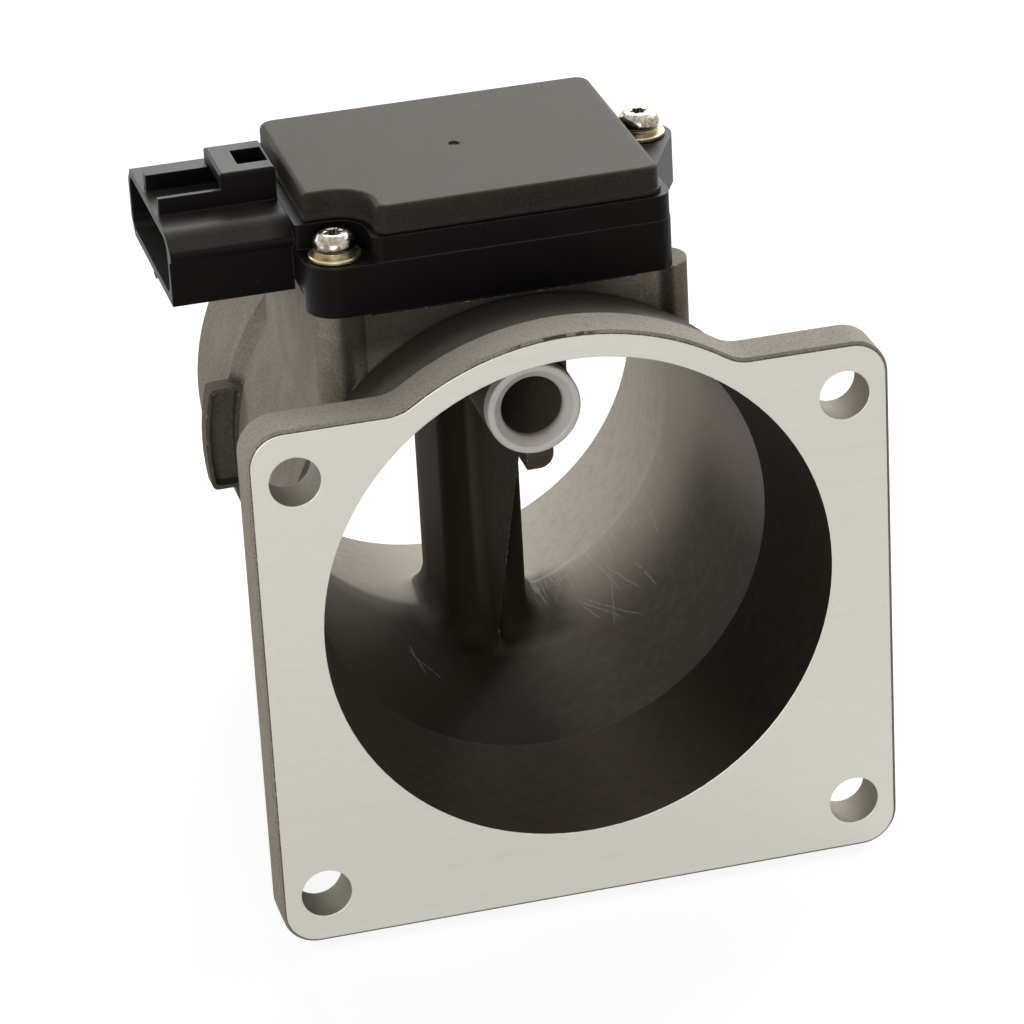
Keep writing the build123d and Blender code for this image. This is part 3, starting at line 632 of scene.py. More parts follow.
@dataclass(frozen=True)
class BoreWall:
    """The inside, with painted light and shade: a throat painted lighter high and to the right and
    with painted shadow low and to the left, an outlet partly painted paler as light, an entry cone
    painted dark as shade, and painted shade on the duct in the bore.
    """

    throat: Colour = (0.132, 0.113, 0.087)
    throat_light: Colour = (0.185, 0.161, 0.127)
    # throat_painted_light: painted light on the throat's upper, right and rear wall.
    throat_painted_light: Colour = (0.560, 0.510, 0.430)
    # painted_shadow: the colour of painted shadow and shade in the throat, at the pillar's foot and
    # on the duct.
    painted_shadow: Colour = (0.030, 0.022, 0.015)
    outlet: Colour = (0.570, 0.528, 0.458)
    outlet_low: Colour = (0.270, 0.247, 0.208)
    outlet_blot: Colour = (0.385, 0.342, 0.276)
    # cone and cone_right: painted shade in the entry cone, darker to the right.
    cone: Colour = (0.112, 0.089, 0.065)
    cone_right: Colour = (0.028, 0.023, 0.017)
    cone_blot: Colour = (0.050, 0.042, 0.034)
    scratch: Colour = (0.720, 0.680, 0.600)
    scuffs: Scuffs = Scuffs()
    inside_radius: Step = Step(46.1, 45.9)
    inside_y: Step = Step(29.35, 29.65)
    wall_radius: Step = Step(42.3, 42.7)
    throat_blotched: Step = Step(0.38, 0.72, 0.50)
    lit_z: Step = Step(-16.0, 14.0)
    lit_x: Step = Step(10.0, 30.0)
    lit_back_y: Step = Step(58.0, 88.0, 0.75)
    lit_back_x: Step = Step(8.0, 24.0)
    shadow_z: Step = Step(-8.0, -42.0, 0.82)
    shadow_x: Step = Step(22.0, -4.0)
    shadow_y: Step = Step(92.0, 78.0)
    shadow_wander: float = 14.0
    outlet_y: Step = Step(87.5, 90.5)
    outlet_x: Step = Step(-24.0, 8.0)
    outlet_blotched: Step = Step(0.40, 0.70, 0.35)
    foot_z: Step = Step(-33.0, -40.0, 0.85)
    foot_middle: float = 3.0
    foot_beside: Step = Step(17.0, 9.0)
    foot_y: Band = Band(80.0, 9.0, 6.0)
    foot_wander: float = 6.0
    cone_radius: Step = Step(50.2, 50.0)
    cone_x: Step = Step(8.0, 38.0)
    cone_blotched: Step = Step(0.35, 0.75, 0.40)
    duct_radius: Step = Step(42.5, 41.0)
    duct_z: Step = Step(24.0, 10.0, 0.50)
    crevice_y: Band = Band(73.0, 0.25, 0.5, 0.80)
    crevice_x: Band = Band(2.3, 0.35, 0.4)
    pillar_front_y: Step = Step(72.2, 73.0, 0.97)
    pillar_back_y: Step = Step(99.0, 94.0)
    pillar_z: Step = Step(26.0, 14.0)

    def cover(self, paint: CastingPaint, surface: Socket) -> Socket:
        """Lay the inside over the skin.

        Args:
            paint: the casting's material.
            surface: the colour so far.

        Returns:
            The new colour.
        """
        x, y, z = paint.x, paint.y, paint.z
        inside = self.inside_radius(paint.radius) * self.inside_y(y)
        wall = inside * self.wall_radius(paint.radius)
        surface = paint.mix(inside, surface, self._throat(paint))
        surface = paint.mix(wall * self.outlet_y(y), surface, self._outlet(paint))
        # Painted shadow round the foot of the pillar and fin.
        beside = abs(x - self.foot_middle) + paint.wander(self.foot_wander)
        foot = self.foot_z(z) * self.foot_beside(beside) * self.foot_y(y)
        surface = paint.mix(foot * inside, surface, self.painted_shadow)
        # Painted shade: the entry cone is painted dark, darker still to the right.
        cone = paint.mix(self.cone_x(x), self.cone, self.cone_right)
        cone = paint.mix(self.cone_blotched(paint.blot), cone, self.cone_blot)
        in_cone = self.cone_radius(paint.radius) * (1.0 - self.inside_y(y))
        surface = paint.mix(in_cone, surface, cone)
        surface = paint.mix(self.scuffs.mask(paint) * wall, surface, self.scratch)
        return self._duct(paint, surface, inside * self.duct_radius(paint.radius))

    def _throat(self, paint: CastingPaint) -> Socket:
        """Give the throat's colour: painted light high, to the right and towards the back, painted
        shadow low and to the left.

        Args:
            paint: the casting's material.

        Returns:
            The colour's socket.
        """
        x, y, z = paint.x, paint.y, paint.z
        throat = paint.mix(self.throat_blotched(paint.blot), self.throat, self.throat_light)
        # Painted light: the throat is painted paler high and to the right, and towards the back on
        # the right.
        throat = paint.mix(self.lit_z(z) * self.lit_x(x), throat, self.throat_painted_light)
        throat = paint.mix(self.lit_back_y(y) * self.lit_back_x(x), throat, self.throat_painted_light)
        # Painted shadow low and to the left, where the pillar and the tube cast it.
        left = self.shadow_x(x + paint.wander(self.shadow_wander))
        return paint.mix(self.shadow_z(z) * left * self.shadow_y(y), throat, self.painted_shadow)

    def _outlet(self, paint: CastingPaint) -> Socket:
        """Give the outlet's colour: paler than the throat, partly its own finish behind the die split
        and partly painted light, and painted paler still to the right as light, with darker blots.

        Args:
            paint: the casting's material.

        Returns:
            The colour's socket.
        """
        # Painted light: the outlet is paler to the right, where light comes in through it from
        # behind.
        outlet = paint.mix(self.outlet_x(paint.x), self.outlet_low, self.outlet)
        return paint.mix(self.outlet_blotched(paint.blot), outlet, self.outlet_blot)

    def _duct(self, paint: CastingPaint, surface: Socket, duct: Value) -> Socket:
        """Paint shade on the sampling duct: its lower part, the crevice at the fin's root and the
        pillar.

        Args:
            paint: the casting's material.
            surface: the colour so far.
            duct: the mask of the duct.

        Returns:
            The new colour.
        """
        y, z = paint.y, paint.z
        # Painted shade on the duct's lower part, in the crevice at the fin's root and on the pillar.
        surface = paint.mix(duct * self.duct_z(z), surface, self.painted_shadow)
        crevice = self.crevice_y(y) * self.crevice_x(abs(paint.x))
        surface = paint.mix(crevice * duct, surface, self.painted_shadow)
        pillar = self.pillar_front_y(y) * self.pillar_z(z) * self.pillar_back_y(y)
        return paint.mix(pillar * duct, surface, self.painted_shadow)


@dataclass(frozen=True)
class MilledFace:
    """The milled front of the flange, its four drilled holes and a dark line of painted shade in the
    chamfer at its rim.
    """

    metal: Colour = (0.608, 0.588, 0.530)
    metal_low: Colour = (0.535, 0.515, 0.459)
    pore: Colour = (0.315, 0.273, 0.213)
    # dark: the painted shade in the rim's chamfer.
    dark: Colour = (0.050, 0.042, 0.034)
    face_y: Step = Step(0.05, 0.01)
    line_gap: float = 0.20
    lined: Step = Step(0.32, 0.68, 0.45)
    sweep: Cloud = Cloud(2.2, 2.0, 0.5)
    sweep_turn: Triple = (0.0, 28.0, 0.0)
    swept: Step = Step(0.50, 0.80, 0.30)
    pore_gap: float = 2.6
    pore_share: float = 0.05
    pore_depth: float = 0.7
    hole_x: float = 52.75
    hole_z: float = 43.35
    holes_middle_z: float = -9.75
    hole_radius: Step = Step(4.98, 4.93)
    hole_film: float = 0.55
    outer_radius: Step = Step(51.0, 51.5)
    corner_y: Band = Band(0.15, 0.05, 0.09, 0.70)
    corner_broken: Step = Step(0.30, 0.50)
    torn_y: Band = Band(0.35, 0.196, 0.08, 0.85)
    torn_x: Band = Band(-2.5, 6.0, 3.0)
    torn_z: Step = Step(40.0, 50.0)
    torn_cloud: Cloud = Cloud(5.0)
    torn_broken: Step = Step(0.50, 0.56)

    def cover(self, paint: CastingPaint, surface: Socket, drilled: Value) -> Socket:
        """Lay the milled metal over the face and a film of it in the holes.

        Args:
            paint: the casting's material.
            surface: the colour so far.
            drilled: the mask of the holes' walls.

        Returns:
            The new colour.
        """
        lines = paint.drawn(Direction.X, self.line_gap)
        metal = paint.mix(self.lined(lines), self.metal, self.metal_low)
        sweep = paint.slanted(self.sweep, self.sweep_turn, Direction.X.value)
        metal = paint.mix(self.swept(sweep), metal, self.metal_low)
        pores = paint.specks(self.pore_gap, self.pore_share)
        metal = paint.mix(pores * self.pore_depth, metal, self.pore)
        surface = paint.mix(self.face_y(paint.y), surface, metal)
        return paint.mix(drilled * self.hole_film, surface, self.metal_low)

    def drilled(self, paint: CastingPaint) -> Value:
        """Give a mask of the walls of the four holes.

        Args:
            paint: the casting's material.

        Returns:
            1 on a wall, 0 elsewhere.
        """
        across = abs(paint.x) - self.hole_x
        up = abs(paint.z - self.holes_middle_z) - self.hole_z
        away = (across * across + up * up) ** 0.5
        return self.hole_radius(away) * (1.0 - self.face_y(paint.y))

    def chamfer_shade(self, paint: CastingPaint, drilled: Value) -> Value:
        """Give a mask of the painted shade in the rim's chamfer: a broken dark line round the rim,
        torn over the hump.

        Args:
            paint: the casting's material.
            drilled: the mask of the holes' walls.

        Returns:
            1 on the painted shade, 0 elsewhere.
        """
        line = self.corner_y(paint.y) * self.corner_broken(paint.pits)
        torn = self.torn_y(paint.y) * self.torn_x(paint.x) * self.torn_z(paint.z)
        torn = torn * self.torn_broken(paint.noise(self.torn_cloud))
        return self.outer_radius(paint.radius) * (1.0 - drilled) * line.larger(torn)


@dataclass(frozen=True)
class CastAluminium(Finish):
    """The housing: its skin, its inside and its milled face, with chipped bright edges that are
    partly worn bare metal and partly painted highlight.
    """

    slot: str = "cast_aluminium"
    skin: SandSkin = SandSkin()
    bore: BoreWall = BoreWall()
    face: MilledFace = MilledFace()
    edge_radius: float = 0.35
    edge_cloud: Cloud = Cloud(1.3, 3.0, 0.7)
    chipped: Step = Step(0.52, 0.66)
    edge_shine: float = 0.7
    edge_polish: float = 0.6
    pit_height: float = 0.6
    face_flatness: float = 0.94
    relief_depth: float = 0.05
    metallic: float = 0.02
    metallic_gain: float = 0.9
    roughness: float = 0.62
    grain_roughness: float = 0.12
    polish: float = 0.33
    gloss: float = 0.06

    def make(self) -> Material:
        """Make the material, layer by layer.

        Returns:
            The casting's material.
        """
        paint = CastingPaint(self.slot)
        drilled = self.face.drilled(paint)
        chamfer_shade = self.face.chamfer_shade(paint, drilled)
        rounded = paint.eased(self.edge_radius)
        edge = paint.edge(rounded) * (1.0 - chamfer_shade) * self.chipped(paint.noise(self.edge_cloud))

        surface = self.bore.cover(paint, self.skin.cover(paint))
        surface = self.face.cover(paint, surface, drilled)
        # Painted shade: a dark broken line in the chamfer round the milled face.
        surface = paint.mix(chamfer_shade, surface, self.face.dark)
        # Bright edges: partly worn bare metal, partly painted highlight on the rounded edges.
        surface = paint.mix(edge * self.edge_shine, surface, self.skin.bright)

        milled = self.face.face_y(paint.y)
        smooth = milled.larger(edge * self.edge_polish)
        pits = paint.pits * self.pit_height * (1.0 - milled)
        height = paint.grain * (1.0 - milled * self.face_flatness) + pits
        paint.relief(height, self.relief_depth, rounded)
        return paint.finish({
            "Base Color": surface,
            "Metallic": self.metallic + smooth * self.metallic_gain,
            "Roughness": self.roughness + paint.grain * self.grain_roughness - smooth * self.polish,
            "Specular IOR Level": self.gloss,
        })


@dataclass(frozen=True)
class MouldedPlastic(Finish):
    """Black glass-filled plastic: eroded grain, edges painted paler as painted highlight, dust
    specks, and dust with painted sheen on what faces up.
    """

    slot: str
    body: Colour
    sheen: Colour
    # film: dust with painted sheen, laid on what faces up.
    film: Colour
    gloss: float
    dust_and_sheen_until: float = 200.0
    dust_and_sheen_fade: float = 5.0
    # rubbed: the painted highlight colour of the edges.
    rubbed: Colour = (0.085, 0.079, 0.070)
    dust: Colour = (0.25, 0.25, 0.24)
    tint: Colour = (1.0, 0.94, 0.86)
    grain_size: float = 0.22
    grain_depth: float = 0.012
    roughness: float = 0.34
    flow_roughness: float = 0.08
    grain_roughness: float = 0.06
    edge_polish: float = 0.08
    edge_radius: float = 0.3
    edge_highlight_share: float = 0.6
    flow: Cloud = Cloud(14.0, 2.0, 0.5)
    flowed: Step = Step(0.35, 0.70, 0.35)
    grained: Step = Step(0.42, 0.62, 0.60)
    facing_up: Step = Step(0.45, 0.90)
    dust_and_sheen_thin: float = 0.2
    dust_and_sheen_flow: float = 0.4
    dust_and_sheen_grained: Step = Step(0.40, 0.62, 0.25)
    dust_gap: float = 3.1
    dust_share: float = 0.035
    dust_cloud: Cloud = Cloud(20.0, 1.0, 0.55)
    dusty: Step = Step(0.45, 0.60, 0.50)

    def make(self) -> Material:
        """Make the material.

        Returns:
            The plastic's material.
        """
        paint = Paint(self.slot)
        grain = paint.noise(Cloud(self.grain_size, 4.0))
        flow = paint.noise(self.flow)
        rounded = paint.eased(self.edge_radius)
        edge = paint.edge(rounded)
        body = paint.mix(self.flowed(flow), self.body, self.sheen)
        body = paint.mix(self.grained(grain), body, self.sheen)
        # Painted highlight: the edges are painted paler.
        body = paint.mix(edge * self.edge_highlight_share, body, self.rubbed)
        # Dust and painted sheen on what faces up.
        body = paint.mix(self._dust_and_sheen_on_top(paint, flow, grain), body, self.film)
        dust = paint.specks(self.dust_gap, self.dust_share) * self.dusty(paint.noise(self.dust_cloud))
        body = paint.mix(dust, body, self.dust)
        paint.relief(grain, self.grain_depth, rounded)
        cloudy = flow * self.flow_roughness + grain * self.grain_roughness
        return paint.finish({
            "Base Color": body,
            "Roughness": self.roughness + cloudy - edge * self.edge_polish,
            "Specular IOR Level": self.gloss,
            "Specular Tint": self.tint,
        })

    def _dust_and_sheen_on_top(self, paint: Paint, flow: Value, grain: Value) -> Value:
        """Give how strong the dust and painted sheen lie on what faces up.

        Args:
            paint: the material under work.
            flow: the plastic's large clouds.
            grain: its grain.

        Returns:
            A mask, 0 on walls.
        """
        up = paint.value("ShaderNodeSeparateXYZ", {}, {0: paint.facing()}, "Z")
        thick = self.dust_and_sheen_thin + flow * self.dust_and_sheen_flow + self.dust_and_sheen_grained(grain)
        near = Step(self.dust_and_sheen_until + self.dust_and_sheen_fade, self.dust_and_sheen_until)(paint.axis("X"))
        return self.facing_up(up) * thick * near


@dataclass(frozen=True)
class WhiteNylon(Finish):
    """The ring: white moulded nylon that lets a little light in, painted darker and warmer low inside
    as shade.
    """

    slot: str = "white_nylon"
    body: Colour = (0.820, 0.780, 0.705)
    # warm: painted shade low inside the ring, and a faint cloudy tone elsewhere.
    warm: Colour = (0.480, 0.390, 0.350)
    cloud: Cloud = Cloud(3.0, 3.0, 0.5)
    grain: Cloud = Cloud(0.4, 3.0, 0.5)
    deep_y: Step = Step(28.8, 30.6, 0.80)
    low_z: Step = Step(25.0, 20.0)
    clouded: Step = Step(0.50, 0.80, 0.10)
    edge_radius: float = 0.2
    grain_depth: float = 0.008
    roughness: float = 0.40
    cloud_roughness: float = 0.08
    gloss: float = 0.9
    translucency: float = 0.12
    scatter: Triple = (0.0012, 0.0009, 0.0008)

    def make(self) -> Material:
        """Make the material.

        Returns:
            The ring's material.
        """
        paint = Paint(self.slot)
        cloud = paint.noise(self.cloud)
        # Painted shade: the ring's lower inside is painted darker and warmer.
        inside = self.deep_y(paint.axis("Y")) * self.low_z(paint.axis("Z"))
        body = paint.mix(inside, self.body, self.warm)
        body = paint.mix(self.clouded(cloud), body, self.warm)
        paint.relief(paint.noise(self.grain), self.grain_depth, paint.eased(self.edge_radius))
        return paint.finish({
            "Base Color": body,
            "Roughness": self.roughness + cloud * self.cloud_roughness,
            "Specular IOR Level": self.gloss,
            "Subsurface Weight": self.translucency,
            "Subsurface Radius": self.scatter,
            "Subsurface Scale": 1.0,
        })


@dataclass(frozen=True)
class PlatedMetal(Finish):
    """Plated, turned or drawn metal: fine lines, cloudy film and edges painted bright as painted
    highlight.
    """

    slot: str
    film: Colour
    film_low: Colour
    direction: Direction = Direction.Z
    roughness: float = 0.22
    cloud_roughness: float = 0.12
    line_roughness: float = 0.05
    edge_polish: float = 0.05
    line_gap: float = 0.12
    line_depth: float = 0.004
    cloud: Cloud = Cloud(1.4)
    clouded: Step = Step(0.35, 0.70)
    bright: Colour = (0.85, 0.84, 0.80)
    edge_radius: float = 0.12
    edge_shine: float = 0.4

    def make(self) -> Material:
        """Make the material.

        Returns:
            The metal's material.
        """
        paint = Paint(self.slot)
        lines = paint.drawn(self.direction, self.line_gap)
        cloud = paint.noise(self.cloud)
        film = paint.mix(self.clouded(cloud), self.film_low, self.film)
        rounded = paint.eased(self.edge_radius)
        edge = paint.edge(rounded)
        # Painted highlight along the edges.
        film = paint.mix(edge * self.edge_shine, film, self.bright)
        paint.relief(lines, self.line_depth, rounded)
        cloudy = cloud * self.cloud_roughness + lines * self.line_roughness
        return paint.finish({
            "Base Color": film,
            "Metallic": 1.0,
            "Roughness": self.roughness + cloudy - edge * self.edge_polish,
        })


@dataclass(frozen=True)
class ScrewSteel(Finish):
    """Warm nickel on the screws: a cloudy film, a painted dark reflection low on the head, and
    painted shade in the recess.
    """

    axes: tuple
    top: float
    seat: float
    slot: str = "screw_steel"
    film: Colour = (0.500, 0.460, 0.390)
    film_low: Colour = (0.290, 0.255, 0.200)
    low_dark_reflection: Colour = (0.110, 0.078, 0.055)
    recess_shade: Colour = (0.075, 0.060, 0.048)
    cloud: Cloud = Cloud(1.1)
    clouded: Step = Step(0.40, 0.62)
    low_dark_reflection_height: Step = Step(1.9, 0.5, 0.75)
    low_dark_reflection_wander: float = 3.0
    recess_radius: Step = Step(1.85, 1.55)
    recess_depth: Step = Step(0.02, 0.35)
    recess_shade_share: float = 0.85
    edge_radius: float = 0.1
    relief_depth: float = 0.01
    roughness: float = 0.14
    cloud_roughness: float = 0.16
    recess_roughness: float = 0.2

    def make(self) -> Material:
        """Make the material.

        Returns:
            The screws' material.
        """
        paint = Paint(self.slot)
        x, y, z = (paint.axis(axis) for axis in "XYZ")
        one, other = (((x - at_x) ** 2.0 + (y - at_y) ** 2.0) ** 0.5 for at_x, at_y in self.axes)
        cloud = paint.noise(self.cloud)
        film = paint.mix(self.clouded(cloud), self.film_low, self.film)
        height = z + (cloud - 0.5) * self.low_dark_reflection_wander - self.seat
        # Painted reflection: the head is darker and browner low down, where it mirrors the dark case.
        film = paint.mix(self.low_dark_reflection_height(height), film, self.low_dark_reflection)
        recess = self.recess_radius(one.smaller(other)) * self.recess_depth(self.top - z)
        # Painted shade in the recess.
        film = paint.mix(recess * self.recess_shade_share, film, self.recess_shade)
        paint.relief(cloud, self.relief_depth, paint.eased(self.edge_radius))
        rough = self.roughness + cloud * self.cloud_roughness + recess * self.recess_roughness
        return paint.finish({
            "Base Color": film,
            "Metallic": 1.0,
            "Roughness": rough,
        })


@dataclass(frozen=True)
class MattMatter(Finish):
    """Rubber, sintered ceramic or moulded resin: a matt body with its own grain."""

    slot: str
    body: Colour
    shade: Colour
    grain_size: float = 0.3
    grain_depth: float = 0.01
    roughness: float = 0.6
    cloud_roughness: float = 0.12
    gloss: float = 0.4
    cloud_grains: float = 14.0
    clouded: Step = Step(0.30, 0.70)
    grained: Step = Step(0.55, 0.80, 0.35)
    edge_radius: float = 0.12

    def make(self) -> Material:
        """Make the material.

        Returns:
            The matter's material.
        """
        paint = Paint(self.slot)
        grain = paint.noise(Cloud(self.grain_size, 4.0))
        cloud = paint.noise(Cloud(self.grain_size * self.cloud_grains, 3.0, 0.55))
        body = paint.mix(self.clouded(cloud), self.body, self.shade)
        body = paint.mix(self.grained(grain), body, self.shade)
        paint.relief(grain, self.grain_depth, paint.eased(self.edge_radius))
        return paint.finish({
            "Base Color": body,
            "Roughness": self.roughness + cloud * self.cloud_roughness,
            "Specular IOR Level": self.gloss,
        })


def tube_piece(name: str, points: np.ndarray, finish: Material) -> bpy.types.Object:
    """Make a piece from a closed tube of points.

    The grid's rows run along the tube and its columns round it. Each row joins the next
    by quads, the last column joins the first, and a fan closes each end.

    Args:
        name: the piece's name.
        points: places in metres, shaped (rows, columns, 3).
        finish: its material.

    Returns:
        The piece, riding on the body.
    """
    rows, columns = points.shape[:2]
    index = np.arange(rows * columns).reshape(rows, columns)
    along = np.roll(index, -1, axis=1)
    quads = np.stack([index[:-1], along[:-1], along[1:], index[1:]], axis=-1).reshape(-1, 4)
    first, last = rows * columns, rows * columns + 1
    start = np.stack([np.full(columns, first), along[0], index[0]], axis=-1)
    end = np.stack([np.full(columns, last), index[-1], along[-1]], axis=-1)
    tips = np.stack([points[0].mean(0), points[-1].mean(0)])
    places = np.concatenate([points.reshape(-1, 3), tips])

    mesh = bpy.data.meshes.new(name)
    mesh.from_pydata(places.tolist(), [], quads.tolist() + start.tolist() + end.tolist())
    mesh.polygons.foreach_set("use_smooth", np.ones(len(mesh.polygons), bool))
    mesh.materials.append(finish)
    mesh.update()
    piece = bpy.data.objects.new(name, mesh)
    bpy.context.scene.collection.objects.link(piece)
    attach(piece, ROOT)
    log.info("piece %s: %d faces", name, len(mesh.polygons))
    return piece


@dataclass(frozen=True)
class Helix:
    """A path wound round an axis, and the section carried along it.

    At turn t the path is at angle a = 2 pi t, the radius from the axis, and t times the pitch
    along it. A section point (u, v) lies u outwards from the path and v along the axis. The
    section tapers to its tip over the first and last part of a turn.
    """

    radius: float
    pitch: float
    turns: float
    steps: int
    fade: float
    lying: bool = False
    tip: float = 0.02

    def tube(self, start: Triple, section: np.ndarray) -> np.ndarray:
        """Carry a section along the helix.

        Args:
            start: where the axis starts.
            section: (u, v) points of the section.

        Returns:
            Points in metres, shaped (rows, columns, 3).
        """
        t = np.linspace(0.0, self.turns, int(self.turns * self.steps) + 1)[:, None]
        angle = 2.0 * np.pi * t
        size = np.clip(np.minimum(t, self.turns - t) / self.fade, self.tip, 1.0)
        out = self.radius + section[None, :, 0] * size
        up = self.pitch * t + section[None, :, 1] * size
        across, side = out * np.cos(angle), out * np.sin(angle)
        local = np.stack([up, across, side] if self.lying else [across, side, up], axis=-1)
        return (local + np.asarray(start)) * MM


@dataclass
class Assembly:
    """Some nodes of the frame, the finish of each, and the pieces added to them."""

    nodes: dict[str, bpy.types.Object]
    finishes: dict[str, Finish] = field(default_factory=dict)
    made: dict[str, Material] = field(default_factory=dict)

    def dress(self) -> None:
        """Give every node of the assembly its finish."""
        for name, finish in self.finishes.items():
            if finish.slot not in self.made:
                self.made[finish.slot] = finish.make()
            mesh = self.nodes[name].data
            mesh.materials.clear()
            mesh.materials.append(self.made[finish.slot])
            log.info("node %s: %s", name, finish.slot)

    def build(self) -> None:
        """Make the pieces that the assembly adds. Most add none."""


@dataclass
class Housing(Assembly):
    """The casting and the thread in its spare boss."""

    boss_x: float = 27.3
    boss_y: float = 34.5
    boss_top: float = 52.0
    thread_below: float = 0.6
    thread_depth: float = 0.42
    thread_sunk: float = 0.05
    thread_width: float = 0.92
    thread: Helix = Helix(radius=2.3, pitch=0.8, turns=11.0, steps=40, fade=0.5)

    def __post_init__(self) -> None:
        """Name the finishes."""
        self.finishes = {"housing_casting": CastAluminium()}

    def build(self) -> None:
        """Wind the spare boss's thread: a triangular ridge on the wall of its hole."""
        half = self.thread.pitch * self.thread_width / 2.0
        foot, crest = self.thread_sunk, -self.thread_depth
        ridge = np.array([[foot, half], [crest, 0.0], [foot, -half]])
        start = self.boss_top - self.thread_below - self.thread.pitch * self.thread.turns
        points = self.thread.tube((self.boss_x, self.boss_y, start), ridge)
        tube_piece("spare_boss_thread", points, self.made["cast_aluminium"])


@dataclass
class SensorModule(Assembly):
    """The plastic case with its cover, seal, board and terminals."""

    terminals: int = 6

    def __post_init__(self) -> None:
        """Name the finishes."""
        resin = MattMatter("chip_resin", (0.020, 0.020, 0.020), (0.034, 0.034, 0.033), 0.15)
        tin = PlatedMetal("terminal_tin", (0.66, 0.65, 0.62), (0.55, 0.54, 0.51), Direction.X)
        self.finishes = {
            # Each plastic's film is dust with painted sheen on what faces up; the case's fades out
            # beyond x = -47 mm, so it lies on the shroud's top.
            "module_case": MouldedPlastic(
                "case_plastic", body=(0.0034, 0.0027, 0.0029), sheen=(0.0070, 0.0060, 0.0056),
                film=(0.090, 0.084, 0.074), gloss=0.09, dust_and_sheen_until=-47.0),
            "module_cover": MouldedPlastic(
                "cover_plastic", body=(0.0290, 0.0253, 0.0200), sheen=(0.0580, 0.0510, 0.0410),
                film=(0.082, 0.070, 0.050), gloss=0.08, grain_size=0.5, grain_depth=0.04,
                roughness=0.46, edge_radius=0.6),
            "cover_seal": MattMatter("seal_silicone", (0.010, 0.010, 0.010), (0.020, 0.020, 0.020)),
            "base_plate": PlatedMetal("carrier_aluminium", (0.62, 0.62, 0.61), (0.52, 0.52, 0.51),
                                      Direction.Y, roughness=0.36),
            "circuit_board": MattMatter("board_ceramic", (0.72, 0.70, 0.64), (0.60, 0.58, 0.52), 0.2),
            "control_chip": resin,
            "power_transistor": resin,
            "chip_resistors": resin,
            "filter_capacitors": MattMatter("capacitor_ceramic", (0.34, 0.22, 0.12),
                                            (0.26, 0.16, 0.08), 0.1),
        }
        self.finishes |= {f"terminal_{number}": tin for number in range(1, self.terminals + 1)}


@dataclass
class Probe(Assembly):
    """The sensing elements in the tube, their posts, windings and seal, and the white ring."""

    posts: int = 4
    y: float = 53.65
    height: float = 27.1
    element_spacing: float = 3.4
    wire_radius: float = 0.035
    wire_sides: int = 6
    winding: Helix = Helix(radius=0.45, pitch=0.14, turns=25.0, steps=20, fade=0.3, lying=True)

    def __post_init__(self) -> None:
        """Name the finishes."""
        glaze = MattMatter("element_ceramic", (0.62, 0.62, 0.60), (0.50, 0.50, 0.48), 0.06,
                           grain_depth=0.002, roughness=0.28, gloss=0.6)
        post = PlatedMetal("post_steel", (0.64, 0.63, 0.60), (0.54, 0.53, 0.50), roughness=0.18)
        self.finishes = {
            "bypass_inlet_ring": WhiteNylon(),
            "hot_element": glaze,
            "cold_element": glaze,
            "probe_o_ring": MattMatter("o_ring_rubber", (0.008, 0.008, 0.008), (0.016, 0.016, 0.016)),
        }
        self.finishes |= {f"element_post_{number}": post for number in range(1, self.posts + 1)}

    def build(self) -> None:
        """Wind a wire round each element: a circle (r cos a, r sin a) carried along a helix."""
        angle = np.linspace(0.0, 2.0 * np.pi, self.wire_sides, endpoint=False)
        wire = self.wire_radius * np.stack([np.cos(angle), np.sin(angle)], axis=-1)
        half_length = self.winding.turns * self.winding.pitch / 2.0
        half_gap = self.element_spacing / 2.0
        for name, side in (("hot_element_winding", -half_gap), ("cold_element_winding", half_gap)):
            points = self.winding.tube((-half_length, self.y + side, self.height), wire)
            tube_piece(name, points, self.made["post_steel"])


